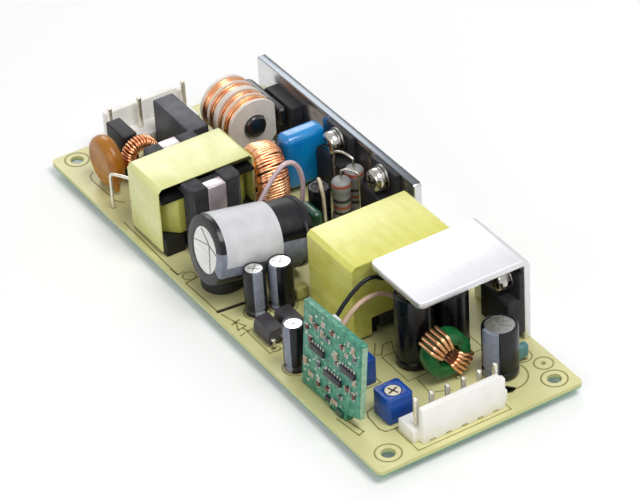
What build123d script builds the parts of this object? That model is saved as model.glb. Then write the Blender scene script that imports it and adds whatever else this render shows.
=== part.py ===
from build123d import *
import os
from math import atan2, cos, degrees, pi, radians, sin, sqrt

# An open-frame LED power supply: a bare circuit board with the mains input at one end, a power
# factor stage and bulk capacitor in the middle, and the isolated output at the other end.
# Millimetres. X runs along the board from the mains end to the output end, Y runs across it
# towards the heatsinks, Z is up. The origin is the middle of the four fixing holes, on the
# underside of the board. Places on the board are counted from its mains-end left corner, and
# heights from its top face.

# board, divided along X into four zones
mains_zone = 34.4
boost_zone = 42.0
transformer_zone = 26.0
output_zone = 37.3
board_thickness = 1.2
board_corner = 1.2
front_lip = 0.7
output_lip = 1.0
fixing_hole = 3.2
fixing_inset_x = 3.5
fixing_inset_y = 4.4
boost_start = mains_zone
transformer_start = boost_start + boost_zone
output_start = transformer_start + transformer_zone
board_length = output_start + output_zone

# rows across the board, from the front edge to the rear heatsink
front_margin = 1.5
tape = 0.5
boost_coil_depth = 24.0
choke_row = 9.9
film_cap_length = 11.2
rear_gap = 0.9
sink_thickness = 2.0
sink_edge = 0.3
boost_rear = front_margin + 2 * tape + boost_coil_depth
rear_face = boost_rear + choke_row + film_cap_length + rear_gap
board_width = rear_face + sink_thickness + sink_edge

# leads
lead_reach = 2.0
lead_clearance = 0.15
wire_lead = 0.65
square_lead = 0.7

# pin headers
header_pitch = 3.96
header_ways = 6
header_depth = 7.1
header_base = 3.2
header_wall = 1.5
header_height = 8.9
header_end = 1.95
header_wall_end = 0.45
header_scallop = 1.4
header_pin = 1.0
mains_pin_height = 11.4
output_pin_height = 10.0
header_pin_offset = 3.2
header_edge_gap = 1.4
mains_header_y = 23.5
output_header_y = 22.1

# fuse, varistor and mains filter
part_gap = 0.5
fuse_length = 8.2
fuse_width = 3.8
fuse_height = 11.0
fuse_y = 12.0
fuse_pitch = 5.08
varistor_diameter = 12.6
varistor_thickness = 4.0
varistor_x = 17.6
varistor_y = 5.3
varistor_height = 7.2
varistor_pitch = 7.5
x_cap_length = 16.7
x_cap_width = 5.5
x_cap_height = 12.5
x_cap_y = 25.5
x_cap_pitch = 12.5
ring_choke_x = 19.9
ring_choke_y = 12.9
ring_choke_height = 7.2
ring_choke_radius = 4.7
ring_choke_hole = 1.6
ring_choke_width = 4.2
ring_choke_turns = 12
diode_x = 33.2
diode_y = 4.4
diode_radius = 1.35
diode_height = 6.4
diode_seat = 1.4
diode_loop = 7.6
diode_loop_y = 2.6

# common-mode choke
cm_front = 31.6
cm_leg_end = 1.0
cm_y = rear_face - 11.4
cm_height = 11.5
cm_flange_radius = 6.9
cm_winding_radius = 6.3
cm_flat = 5.5
cm_tube_radius = 4.0
cm_bore_radius = 3.35
cm_flange = 0.8
cm_section = 2.3
cm_thin_flange = 0.5
cm_middle_flange = 1.5
cm_leg_left = 2.2
cm_leg_right = 2.4
cm_leg_height = 4.6
cm_return = 1.9
cm_foot_height = 5.2
cm_foot_half_width = 5.0
cm_sides = 18

# rectifier and rear heatsink
sink_height = 17.6
sink_start = 14.4
sink_past_boost = 4.4
sink_corner = 0.5
bridge_start = 20.8
bridge_length = 13.4
bridge_thickness = 3.0
bridge_bottom = 3.0
bridge_top = 14.2
transistor_one_x = 51.8
transistor_two_x = 70.2
screw_height = 14.6

# boost inductor
boost_coil_x = 8.0
boost_coil_y = front_margin + tape + boost_coil_depth / 2
boost_core_length = 22.0
boost_core_depth = 13.2
boost_core_height = 16.2
boost_core_leg = 3.7
boost_core_yoke = 2.4
boost_post = 6.0
boost_band = 13.7
boost_band_shift = -0.45
bobbin_rail = 7.6
clip_width = 4.5
clip_groove = 0.8
clip_thickness = 0.4
clip_hook = 2.6

# filter choke, film capacitor and bulk capacitor
filter_choke_x = 11.3
filter_choke_y = boost_rear + 4.5
filter_choke_yaw = 12.0
filter_choke_radius = 7.9
filter_choke_hole = 3.4
filter_choke_width = 6.6
filter_choke_turns = 15
film_cap_front = 12.1
film_cap_thickness = 5.3
film_cap_height = 14.3
film_cap_y = rear_face - rear_gap - film_cap_length / 2
film_cap_seat = 1.2
bulk_x = 34.6
bulk_y = 25.0
bulk_height = 8.75
bulk_radius = 8.0
bulk_length = 23.4
bulk_yaw = 2.5
bulk_pitch = 9.5
bulk_lead_pitch = 7.5
bulk_sides = 28
bulk_bead = 2.0
bulk_lip = 1.9
bulk_lead_bend = 2.5
pad_x = 31.9
pad_y = 6.0
pad_radius = 4.0

# damping network beside the rear heatsink
resistor_radius = 2.3
resistor_height = 12.0
resistor_seat = 1.8
resistor_one_x = 29.7
resistor_one_y = rear_face - 8.6
resistor_two_x = 27.5
resistor_two_y = rear_face - 3.8
resistor_cap = 3.0
front_hairpin = 4.4
rear_hairpin = 5.5
green_cap_x = 29.8
green_cap_y = rear_face - 16.9
green_cap_length = 6.8
green_cap_thickness = 2.8
green_cap_height = 9.0
loop_x = 21.0
loop_start_y = 22.0
loop_end_y = rear_face - 14.15
loop_top = 16.6
loop_wire = 1.2

# upright electrolytic capacitors
sleeve = 0.15
vent_lip = 0.8
small_cap_radius = 2.5
small_cap_height = 12.0
aux_cap_radius = 2.85
output_cap_radius = 4.1
output_cap_height = 18.4
corner_cap_radius = 4.0
corner_cap_height = 12.6

# transformer
tx_x = 16.4
tx_y = rear_face - 16.8
tx_core_length = 16.4
tx_core_depth = 12.0
tx_core_height = 18.6
tx_core_leg = 3.0
tx_core_yoke = 3.0
tx_post = 4.6
tx_coil_depth = 25.2
tx_band = 17.6
tx_flap = 4.1

# optocouplers and trimmers
opto_length = 6.3
opto_width = 4.5
opto_height = 3.6
opto_seat = 0.6
opto_draft = 0.5
opto_row = 7.62
trimmer_side = 6.3
trimmer_height = 6.2
trimmer_seat = 0.2
rotor_radius = 1.75
rotor_depth = 0.9
rotor_clearance = 0.15
rotor_slot = 0.5

# control board
card_x = 3.5
card_y = 2.45
card_length = 21.0
card_height = 21.0
card_thickness = 1.6
card_yaw = 2.1
card_lean = 5.0
card_tab = 6.0
card_tab_start = 10.5
card_pins = 4
card_pin_pitch = 2.0
card_pin_length = 5.0

# output stage
plate_start = 0.0
plate_length = 19.2
plate_width = 28.1
plate_thickness = 1.6
plate_cap_gap = 1.0
plate_height = output_cap_height + plate_cap_gap + plate_thickness
plate_corner = 1.6
plate_bend = 2.0
rectifier_x = 14.2
output_choke_x = 19.9
output_choke_y = rear_face - 20.3
output_choke_radius = 5.4
output_choke_hole = 2.7
output_choke_width = 4.2
output_choke_wire = 0.7
output_choke_turns = 5
output_choke_inner_pitch = 21.0
output_choke_outer_pitch = 12.0

nodes = {}
drills = []


def on_board(x, y, z=0.0):
    """Place a thing by its distance from the board's mains-end left corner and its height."""
    return Location((x - board_length / 2, y - board_width / 2, board_thickness + z))


def add(name, *solids):
    nodes.setdefault(name, []).extend(solids)


def block(x0, x1, y0, y1, z0, z1):
    centre = on_board((x0 + x1) / 2, (y0 + y1) / 2, (z0 + z1) / 2)
    return centre * Box(x1 - x0, y1 - y0, z1 - z0)


def prism(radius, height, sides):
    """A drum with flat facets, standing on the plane it is placed on."""
    return extrude(RegularPolygon(radius, sides), height)


def drill(x, y, half_width):
    drills.append((x, y, half_width + lead_clearance))


def lead(name, x, y, top, width=wire_lead):
    """A straight lead from a height above the board down through its hole."""
    length = top + board_thickness + lead_reach
    foot = on_board(x, y, -board_thickness - lead_reach)
    add(name, foot * Pos(0, 0, length / 2) * Box(width, width, length))
    drill(x, y, width / 2)


def wire(points, diameter, sides=4):
    """A bent wire through the given board places."""
    path = Polyline(*[on_board(*point).position for point in points])
    section = Plane(origin=path @ 0, z_dir=path % 0) * RegularPolygon(diameter / 2, sides)
    return sweep(section, path=path, transition=Transition.RIGHT)


def circuit_board():
    outline = RectangleRounded(board_length + output_lip, board_width + front_lip, board_corner)
    outline = Pos(output_lip / 2, -front_lip / 2) * outline
    spread_x = board_length - 2 * fixing_inset_x
    spread_y = board_width - 2 * fixing_inset_y
    fixings = GridLocations(spread_x, spread_y, 2, 2) * Circle(fixing_hole / 2)
    holes = [Pos(x - board_length / 2, y - board_width / 2) * Rectangle(2 * r, 2 * r)
             for x, y, r in drills]
    slot = Pos(output_start + card_x - board_length / 2, card_y - board_width / 2)
    slot = slot * Rot(0, 0, card_yaw) * Pos(card_tab_start + card_tab / 2, card_thickness / 2)
    slot = slot * Rectangle(card_tab + 2 * lead_clearance, card_thickness + 3 * lead_clearance)
    add("circuit_board", extrude(outline - fixings - holes - slot, board_thickness))


def header(prefix, wall_x, middle_y, outward, used, pin_height):
    """A pin header whose wall stands at wall_x and whose base reaches back from it."""
    row = (header_ways - 1) * header_pitch
    inner = wall_x - outward * header_depth
    wall_inner = wall_x - outward * header_wall
    low, high = sorted((wall_inner, inner))
    base = block(low, high, middle_y - row / 2 - header_end, middle_y + row / 2 + header_end,
                 0, header_base)
    low, high = sorted((wall_x, wall_inner))
    wall = block(low, high, middle_y - row / 2 - header_wall_end,
                 middle_y + row / 2 + header_wall_end, 0, header_height)
    wall_end = middle_y + row / 2 + header_wall_end
    wall -= block(low - 1, high + 1, wall_end - 1.2, wall_end + 1, header_height - 1.0,
                  header_height + 1)
    for gap in range(header_ways - 1):
        gap_y = middle_y - row / 2 + (gap + 0.5) * header_pitch
        wall -= block(low - 1, high + 1, gap_y - header_scallop / 2, gap_y + header_scallop / 2,
                      -1, 0.5)
    housing = base + wall
    pin_x = wall_x - outward * header_pin_offset
    length = pin_height + board_thickness + lead_reach
    for way in used:
        pin_y = middle_y - row / 2 + way * header_pitch
        foot = on_board(pin_x, pin_y, -board_thickness - lead_reach)
        pin = foot * Pos(0, 0, length / 2) * Box(header_pin, header_pin, length)
        housing -= pin
        pin = chamfer(pin.edges().group_by(Axis.Z)[-1], header_pin / 4)
        add(prefix + "_header_pins", pin)
        drill(pin_x, pin_y, header_pin / 2)
    add(prefix + "_header_housing", housing)


def fuse():
    x = header_edge_gap + header_depth + part_gap + fuse_length / 2
    body = block(x - fuse_length / 2, x + fuse_length / 2, fuse_y - fuse_width / 2,
                 fuse_y + fuse_width / 2, 0.3, fuse_height + 0.3)
    add("fuse", chamfer(body.edges(), 0.25))
    for side in (-1, 1):
        lead("mains_leads", x + side * fuse_pitch / 2, fuse_y, 0.3)


def x_capacitor():
    x = header_edge_gap + header_depth + part_gap + x_cap_length / 2
    body = block(x - x_cap_length / 2, x + x_cap_length / 2, x_cap_y - x_cap_width / 2,
                 x_cap_y + x_cap_width / 2, 0.2, x_cap_height)
    add("x_capacitor", chamfer(body.edges(), 0.3))
    for side in (-1, 1):
        lead("mains_leads", x + side * x_cap_pitch / 2, x_cap_y, 0.2)


def varistor():
    """A coated disc on edge, its coating drawn a little way down both leads."""
    r = varistor_diameter / 2
    disc = prism(r, varistor_thickness, 18)
    disc = chamfer(disc.edges().group_by(Axis.Z)[0] + disc.edges().group_by(Axis.Z)[-1], 1.2)
    body = on_board(varistor_x, varistor_y, varistor_height) * Rot(90, 0, 0)
    body = body * Pos(0, 0, -varistor_thickness / 2) * disc
    for side in (-1, 1):
        x = varistor_x + side * varistor_pitch / 2
        top = varistor_height - sqrt(r * r - (varistor_pitch / 2) ** 2) + 1.2
        body += on_board(x, varistor_y, 0.8) * extrude(RegularPolygon(0.6, 6), top - 0.8, taper=-12)
        lead("mains_leads", x, varistor_y, 0.8)
    add("varistor", body)


def wound_ring(radius, hole, width, turns, ridge, rounded=False, bare=30.0):
    """A ring core and the ridged winding that covers all but its bare sector. Its axis is Z."""
    core = prism(radius - 1.2, width - 2.0, 20) - prism(hole + 1.2, width, 20)
    core = Pos(0, 0, 1.0 - width / 2) * core
    step = (360.0 - bare) / turns
    crests = []
    for turn in range(turns):
        valley = radians(bare / 2 + turn * step)
        crest = radians(bare / 2 + (turn + 0.5) * step)
        crests.append(((radius - ridge) * cos(valley), (radius - ridge) * sin(valley)))
        crests.append((radius * cos(crest), radius * sin(crest)))
    last = radians(360.0 - bare / 2)
    crests.append(((radius - ridge) * cos(last), (radius - ridge) * sin(last)))
    inside = [(x * hole / radius, y * hole / radius) for x, y in crests]
    profile = make_face(Polyline(*crests, *reversed(inside), close=True))
    flat = width / 2 - (ridge if rounded else 0)
    coil = Pos(0, 0, -flat) * extrude(profile, 2 * flat)
    if rounded:
        shoulder = scale(profile, (radius - ridge) / radius)
        coil += [Pos(0, 0, side * flat) * extrude(shoulder, side * ridge) for side in (-1, 1)]
    return core, coil - core


def winding_tail(x, y, top):
    """The end of a winding's own wire, straight down through the board."""
    length = top + board_thickness + lead_reach
    drill(x, y, wire_lead / 2)
    foot = on_board(x, y, -board_thickness - lead_reach)
    return foot * extrude(RegularPolygon(wire_lead / 2, 6), length)


def ring_choke():
    place = on_board(ring_choke_x, ring_choke_y, ring_choke_height) * Rot(0, 90, 0)
    core, coil = wound_ring(ring_choke_radius, ring_choke_hole, ring_choke_width,
                            ring_choke_turns, 0.35)
    add("ring_choke_core", place * core)
    tails = [winding_tail(ring_choke_x - side * 1.2, ring_choke_y + side * 2.0,
                          ring_choke_height - ring_choke_radius + 1.6) for side in (-1, 1)]
    add("ring_choke_winding", place * coil + tails)


def surge_diode():
    """An upright axial part whose top lead loops over and comes down beside it."""
    body = on_board(diode_x, diode_y, diode_seat) * prism(diode_radius, diode_height, 10)
    add("surge_diode", chamfer(body.edges().group_by(Axis.Z)[-1], 0.4))
    lead("mains_leads", diode_x, diode_y, diode_seat)
    top = diode_seat + diode_height
    tip = -board_thickness - lead_reach
    far_x, far_y = diode_x - diode_loop, diode_y - diode_loop_y
    route = [(diode_x, diode_y, top), (diode_x, diode_y, top + 1.4),
             (diode_x - 0.8, diode_y - 0.4, top + 2.0), (far_x + 0.8, far_y + 0.4, top + 1.6),
             (far_x, far_y, top + 0.8), (far_x, far_y, tip)]
    add("mains_leads", wire(route, 0.7, 6))
    drill(far_x, far_y, 0.35)


def common_mode_choke():
    """Four windings on one bobbin. One leg of a U core fills its bore, the other runs beside it."""
    pieces = [cm_flange, cm_section, cm_thin_flange, cm_section, cm_middle_flange,
              cm_section, cm_thin_flange, cm_section, cm_flange]
    rear = cm_front - sum(pieces)
    place = on_board(rear, cm_y, cm_height) * Rot(0, 90, 0) * Rot(0, 0, 180 / cm_sides)
    tube = prism(cm_tube_radius, sum(pieces), cm_sides)
    at = 0.0
    spans = []
    for index, piece in enumerate(pieces):
        if index % 2 == 0:
            tube += Pos(0, 0, at) * prism(cm_flange_radius, piece, cm_sides)
        else:
            spans.append((at, piece))
        at += piece
    bobbin = place * (tube - prism(cm_bore_radius, at, cm_sides))
    bobbin -= block(rear - 1, cm_front + 1, cm_y + cm_flat, cm_y + 2 * cm_flange_radius,
                    0, cm_height + 2 * cm_flange_radius)
    bobbin += block(rear, cm_front, cm_y + cm_leg_right + 0.05, cm_y + cm_bore_radius + 0.1,
                    cm_height - 1.9, cm_height + 1.9)
    feet = []
    for foot_x in (rear, cm_front - 2.0):
        feet.append(block(foot_x, foot_x + 2.0, cm_y - cm_foot_half_width,
                          cm_y + cm_foot_half_width, 0, cm_foot_height))
        for side in (-1, 1):
            lead("mains_leads", foot_x + 1.0, cm_y + side * (cm_foot_half_width - 1.0), 0,
                 square_lead)
    bobbin += feet
    add("common_mode_bobbin", bobbin)
    crest = cm_winding_radius
    for low, length in spans:
        ring = prism(crest, length, cm_sides) - prism(cm_tube_radius, length, cm_sides)
        add("common_mode_windings", place * Pos(0, 0, low) * ring - feet)
    back = rear - cm_return - 0.2
    inner = cm_y + crest + 0.05
    half = cm_leg_height / 2
    core = block(back, cm_front + cm_leg_end, cm_y - cm_leg_left, inner + cm_return,
                 cm_height - half, cm_height + half)
    core = fillet(core.edges().filter_by(Axis.Z).group_by(Axis.X)[0], 1.4)
    core -= block(rear - 0.2, cm_front + 2, cm_y + cm_leg_right, inner,
                  cm_height - half, cm_height + half)
    front = core.faces().filter_by(Axis.X).sort_by(Axis.X)[-1:] + core.faces().filter_by(
        Axis.X).sort_by(Axis.X)[-2:-1]
    core = chamfer(front.edges(), 0.6)
    add("common_mode_core", core)


def rear_heatsink():
    face = rear_face
    end = transformer_start + sink_past_boost
    plate = block(sink_start, end, face, face + sink_thickness, 0, sink_height)
    corner = plate.edges().filter_by(Axis.Y).group_by(Axis.Z)[-1]
    plate = chamfer(corner, sink_corner)
    for x in (transistor_one_x, transistor_two_x):
        hole = on_board(x, face + 2 * sink_thickness, screw_height) * Rot(90, 0, 0)
        plate -= hole * prism(1.55, 3 * sink_thickness, 12)
    stud = on_board(end - 0.9, face + sink_thickness, sink_height - 1.2) * Rot(-90, 0, 0)
    plate += stud * extrude(RegularPolygon(0.6, 8), 0.28)
    add("rear_heatsink", plate)


def bridge_rectifier():
    face = rear_face
    body = block(bridge_start, bridge_start + bridge_length, face - bridge_thickness, face,
                 bridge_bottom, bridge_top)
    body = chamfer(body.edges().filter_by(Axis.Y).group_by(Axis.Z)[-1].sort_by(Axis.X)[:1], 2.0)
    add("bridge_rectifier", body)
    pitch = bridge_length / 4
    for index in range(4):
        lead("power_leads", bridge_start + (index + 0.5) * pitch, face - bridge_thickness / 2,
             bridge_bottom, square_lead)


def power_package(name, x, face, bolt_z, outward=1):
    """A three-lead power package against a heatsink face, with its bolt, nut side and washers."""
    width, thick, tab = 10.2, 4.4, 1.3
    top = bolt_z + 2.9
    step = bolt_z - 3.4
    seat = step - 9.0
    body = block(x - width / 2, x + width / 2, face - thick, face, seat, step)
    ear = block(x - width / 2, x + width / 2, face - tab, face, step, top)
    body = chamfer(body.edges().filter_by(Axis.X).group_by(Axis.Y)[0], 0.5) + ear
    bolt = on_board(x, face, bolt_z) * Rot(90, 0, 0)
    body -= bolt * Pos(0, 0, -tab) * prism(1.7, 4 * tab, 12)
    add(name, body)
    for index in (-1, 0, 1):
        lead("power_leads", x + index * 2.54, face - thick + 1.6, seat, square_lead)
    return bolt, tab


def machine_screw(bolt, reach, under_head):
    """A pan head with a cross recess, on a spring washer and a flat washer."""
    flat = prism(3.4, 0.6, 10) - prism(1.6, 0.6, 10)
    spring = prism(2.7, 0.7, 10) - prism(1.6, 0.7, 10)
    add("heatsink_washers", bolt * Pos(0, 0, under_head) * flat,
        bolt * Pos(0, 0, under_head + 0.6) * spring)
    seat = under_head + 1.3
    head = prism(2.8, 2.1, 12)
    head = chamfer(head.edges().group_by(Axis.Z)[-1], 0.8)
    screw = Pos(0, 0, seat) * head + Pos(0, 0, -reach) * prism(1.45, seat + reach, 8)
    for turn in (0, 90):
        screw -= Pos(0, 0, seat + 2.0) * Rot(0, 0, turn) * Box(2.4, 0.5, 1.6)
    add("heatsink_screws", bolt * screw)


def power_transistors():
    face = rear_face
    for x in (transistor_one_x, transistor_two_x):
        bolt, tab = power_package("power_transistors", x, face, screw_height)
        machine_screw(bolt, sink_thickness - 0.1, tab)


def wound_core(prefix, x, y, seat, length, depth, height, leg_width, yoke, post, coil_depth,
               coil_inset, band, band_shift, groove, pins):
    """Two E core halves, bobbin, coil and the tape band that goes over the top."""
    top = seat + height
    middle = seat + height / 2
    half_length, half_depth = length / 2, depth / 2
    for low, high, inner in ((seat, middle, seat + yoke), (middle, top, top - yoke)):
        half = block(x - half_length, x + half_length, y - half_depth, y + half_depth, low, high)
        window_low, window_high = (inner, high) if low == seat else (low, inner)
        for side in (-1, 1):
            near, far = sorted((x + side * post / 2, x + side * (half_length - leg_width)))
            half -= block(near, far, y - half_depth, y + half_depth, window_low, window_high)
        edges = half.edges().filter_by(Axis.Z).group_by(Axis.X)
        half = chamfer(edges[0] + edges[-1], 0.8)
        if groove:
            reach = clip_width / 2 + 0.1
            cut_low, cut_high = (low - 1, low + groove) if low == seat else (high - groove, high + 1)
            half -= block(x - length, x + length, y - reach, y + reach, cut_low, cut_high)
        add(prefix + "_core", half)
    clear = 0.1
    tube_x, tube_y = post + 2 * clear + 1.4, depth + 2 * clear + 1.4
    flange_x = length - 2 * leg_width - 0.4
    low, high = seat + yoke + clear, top - yoke - clear
    bobbin = block(x - tube_x / 2, x + tube_x / 2, y - tube_y / 2, y + tube_y / 2, low, high)
    for bottom in (low, high - 0.9):
        bobbin += block(x - flange_x / 2, x + flange_x / 2, y - coil_depth / 2,
                        y + coil_depth / 2, bottom, bottom + 0.9)
    rail = (coil_depth - depth) / 2 - 0.6
    for side in (-1, 1):
        edge = y + side * coil_depth / 2
        near, far = sorted((edge, edge - side * rail))
        bobbin += block(x - bobbin_rail, x + bobbin_rail, near, far, 0.2, low + 0.9)
        for index in range(pins):
            reach = bobbin_rail - 1.0
            pin_x = x - reach + index * 2 * reach / (pins - 1)
            lead("power_leads", pin_x, edge - side * 1.2, 0.2, square_lead)
    bobbin -= block(x - post / 2 - clear, x + post / 2 + clear, y - half_depth - clear,
                    y + half_depth + clear, low - 1, high + 1)
    add(prefix + "_bobbin", bobbin)
    coil_x = flange_x - 0.4
    oval = Rectangle(coil_x, coil_depth - 2 * coil_inset)
    oval = chamfer(oval.vertices(), coil_x * 0.28) - Rectangle(tube_x, tube_y)
    coil = extrude(oval, high - low - 1.8)
    add(prefix + "_coil", on_board(x, y, low + 0.9) * coil)
    outer_y = coil_depth / 2 + tape
    middle_x = x + band_shift
    outside = block(middle_x - band / 2, middle_x + band / 2, y - outer_y, y + outer_y, 0.8,
                    top + tape)
    outside = chamfer(outside.edges().filter_by(Axis.X).group_by(Axis.Z)[-1], 1.0)
    inside = block(x - band, x + band, y - outer_y + tape, y + outer_y - tape, 0, top)
    inside = chamfer(inside.edges().filter_by(Axis.X).group_by(Axis.Z)[-1], 0.8)
    return outside - inside, top


def boost_inductor():
    x = boost_start + boost_coil_x
    band, top = wound_core("boost", x, boost_coil_y, 1.0, boost_core_length, boost_core_depth,
                           boost_core_height, boost_core_leg, boost_core_yoke, boost_post,
                           boost_coil_depth, 0.3, boost_band, boost_band_shift, clip_groove, 2)
    add("boost_tape", band)
    for side in (-1, 1):
        end = x + side * boost_core_length / 2
        low, high = 1.0 + clip_groove, top - clip_groove
        strip_y = boost_coil_y - clip_width / 2, boost_coil_y + clip_width / 2
        near, far = sorted((end + side * clip_thickness, end - side * clip_hook))
        clip = block(near, far, *strip_y, low - clip_thickness, high + clip_thickness)
        near, far = sorted((end, end - side * 2 * clip_hook))
        add("core_clips", clip - block(near, far, *strip_y, low, high))


def filter_choke():
    seat = filter_choke_radius + 0.3
    place = on_board(boost_start + filter_choke_x, filter_choke_y, seat)
    place = place * Rot(0, 0, -filter_choke_yaw) * Rot(90, 0, 0) * Rot(0, 0, -90)
    core, coil = wound_ring(filter_choke_radius, filter_choke_hole, filter_choke_width,
                            filter_choke_turns, 0.4, True)
    add("filter_choke_core", place * core)
    tails = [winding_tail(boost_start + filter_choke_x + side * 1.6, filter_choke_y + side * 2.0,
                          1.6) for side in (-1, 1)]
    add("filter_choke_winding", place * coil + tails)


def dipped_capacitor(name, x, y, length, thickness, height, seat, pitch, along_y):
    """A film or ceramic capacitor dipped in lacquer, with soft corners."""
    size_x, size_y = (thickness, length) if along_y else (length, thickness)
    body = Box(size_x, size_y, height)
    body = chamfer(body.edges(), min(length, thickness) * 0.28)
    add(name, on_board(x, y, seat + height / 2) * body)
    for side in (-1, 1):
        shift = side * pitch / 2
        place = (x, y + shift) if along_y else (x + shift, y)
        lead("power_leads", *place, seat)


def electrolytic(radius, height, sides, lip):
    """A can in a shrunk sleeve that laps over its rim. The bung end stands on the plane."""
    can_r = radius - sleeve
    can = Pos(0, 0, 0.3) * prism(can_r, height - 0.4, sides)
    wrap = Pos(0, 0, 0.3) * prism(radius, height - 0.3, sides) - can
    wrap -= Pos(0, 0, height - 1) * prism(radius - lip, 2, sides)
    return can, wrap


def upright_capacitor(x, y, radius, height, lead_gap, sides=12):
    can, wrap = electrolytic(radius, height, sides, vent_lip)
    place = on_board(x, y)
    add("capacitor_cans", place * can)
    add("capacitor_sleeves", place * wrap)
    for side in (-1, 1):
        lead("capacitor_leads", x + side * lead_gap / 2, y, 0.3)


def bulk_capacitor():
    """The reservoir capacitor lies on its side, its vent end propped on a soft pad."""
    can, wrap = electrolytic(bulk_radius, bulk_length, bulk_sides, bulk_lip)
    bead = Pos(0, 0, bulk_bead) * (prism(bulk_radius + 1, 0.7, bulk_sides)
                                   - prism(bulk_radius - 0.5, 0.7, bulk_sides))
    can -= bead
    wrap -= bead
    recess = Pos(0, 0, 0.3) * prism(bulk_radius - 1.2, 0.9, bulk_sides)
    can -= recess
    for turn in (0, 60, 120):
        can -= Pos(0, 0, bulk_length - 0.1) * Rot(0, 0, turn) * Box(bulk_radius, 0.3, 0.3)
    x = boost_start + bulk_x
    lay = on_board(x, bulk_y, bulk_height) * Rot(0, 0, -bulk_yaw) * Rot(-bulk_pitch, 0, 0)
    lay = lay * Rot(90, 0, 0)
    add("bulk_capacitor_can", lay * can)
    add("bulk_capacitor_sleeve", lay * wrap)
    add("bulk_capacitor_bung", lay * recess)
    yaw, pitch = radians(bulk_yaw), radians(bulk_pitch)
    tip = -board_thickness - lead_reach
    for side in (-1, 1):
        across = side * bulk_lead_pitch / 2
        root_x = x - 0.3 * cos(pitch) * sin(yaw) + across * cos(yaw)
        root_y = bulk_y - 0.3 * cos(pitch) * cos(yaw) - across * sin(yaw)
        root_z = bulk_height + 0.3 * sin(pitch)
        down_y = root_y + bulk_lead_bend
        route = [(root_x, root_y, root_z), (root_x, down_y - 0.7, root_z - 0.3),
                 (root_x, down_y, root_z - 1.1), (root_x, down_y, tip)]
        add("capacitor_leads", wire(route, 0.8, 6))
        drill(root_x, down_y, 0.4)
    pad = on_board(boost_start + pad_x, pad_y) * prism(pad_radius, bulk_height + 3, 14)
    pad -= lay * Pos(0, 0, -bulk_length) * prism(bulk_radius + 0.02, 3 * bulk_length, bulk_sides)
    add("bulk_capacitor_pad", pad.solids().sort_by(Axis.Z)[0])


def power_resistor(x, y, turn, hairpin_width):
    """An upright power resistor whose top lead is bent over like a hairpin."""
    r = resistor_radius
    body = prism(r, resistor_height, 12)
    body = chamfer(body.edges().group_by(Axis.Z)[0] + body.edges().group_by(Axis.Z)[-1], 0.8)
    waist = resistor_height - 2 * resistor_cap
    body -= Pos(0, 0, resistor_cap) * (prism(r + 1, waist, 12) - prism(r - 0.2, waist, 12))
    add("power_resistors", on_board(x, y, resistor_seat) * body)
    lead("power_leads", x, y, resistor_seat)
    top = resistor_seat + resistor_height
    tip = -board_thickness - lead_reach
    along = cos(radians(turn)), sin(radians(turn))
    heights = (0, top), (0, top + 1.2), (0.2, top + 2.0), (0.8, top + 2.0), (1, top + 1.0), (1, tip)
    route = [(x + share * hairpin_width * along[0], y + share * hairpin_width * along[1], z)
             for share, z in heights]
    add("power_leads", wire(route, 0.6, 6))
    drill(route[-1][0], route[-1][1], 0.3)


def sleeved_loop():
    x = boost_start + loop_x
    tip = -board_thickness - lead_reach
    y0, y1 = loop_start_y, loop_end_y
    route = [(x, y0, tip), (x, y0, loop_top - 10.0), (x, y0 + 3.2, loop_top - 5.0),
             (x, y0 + 6.4, loop_top - 1.2), (x, y0 + 8.2, loop_top), (x, y1 - 1.6, loop_top - 0.6),
             (x, y1, loop_top - 3.0), (x, y1 + 1.0, loop_top - 7.0), (x, y1, 4.6), (x, y1, tip)]
    add("sleeved_link", wire(route, loop_wire, 6))
    drill(x, y0, loop_wire / 2)
    drill(x, y1, loop_wire / 2)


def transformer():
    x = transformer_start + tx_x
    band, top = wound_core("transformer", x, tx_y, 1.0, tx_core_length, tx_core_depth,
                           tx_core_height, tx_core_leg, tx_core_yoke, tx_post, tx_coil_depth,
                           tape + 0.3, tx_band, 0.0, 0.0, 4)
    belt_x, belt_y = tx_core_length + 2 * tape, tx_coil_depth - 0.4
    belt = Rectangle(belt_x, belt_y)
    belt = chamfer(belt.vertices(), 1.6)
    hollow = Rectangle(belt_x - 2 * tape, belt_y - 2 * tape)
    belt -= chamfer(hollow.vertices(), 1.3)
    low, high = 1.1 + tx_core_yoke + 1.0, top - tx_core_yoke - 1.1
    wrap = band + on_board(x, tx_y, low) * extrude(belt, high - low)
    side, inner = x + tx_core_length / 2, tx_y - tx_coil_depth / 2
    wrap += block(side, side + tape, inner, inner + tx_flap, 0.8, top)
    wrap += block(side, side + tape, inner, tx_y - 2.0, high, top)
    add("transformer_tape", wrap)


def optocoupler(x, y):
    half_x, half_y = opto_length / 2, opto_width / 2
    low, waist, high = opto_seat, opto_seat + 1.5, opto_seat + opto_height
    across = Polyline((-half_y + opto_draft, high), (half_y - opto_draft, high), (half_y, waist),
                      (half_y - 0.2, low), (-half_y + 0.2, low), (-half_y, waist), close=True)
    body = extrude(Plane.YZ * make_face(across), half_x, both=True)
    add("optocouplers", on_board(x, y) * body)
    for side_x in (-1, 1):
        for side_y in (-1, 1):
            pin_y = y + side_y * 1.27
            row = x + side_x * opto_row / 2
            inner, outer = sorted((x + side_x * half_x, row + side_x * 0.15))
            shelf = block(inner, outer, pin_y - 0.5, pin_y + 0.5, waist - 0.15, waist + 0.15)
            inner, outer = sorted((row - side_x * 0.15, row + side_x * 0.15))
            leg = block(inner, outer, pin_y - 0.25, pin_y + 0.25, -board_thickness - lead_reach,
                        waist - 0.15)
            add("output_leads", shelf + leg)
            drill(row, pin_y, 0.3)


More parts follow.
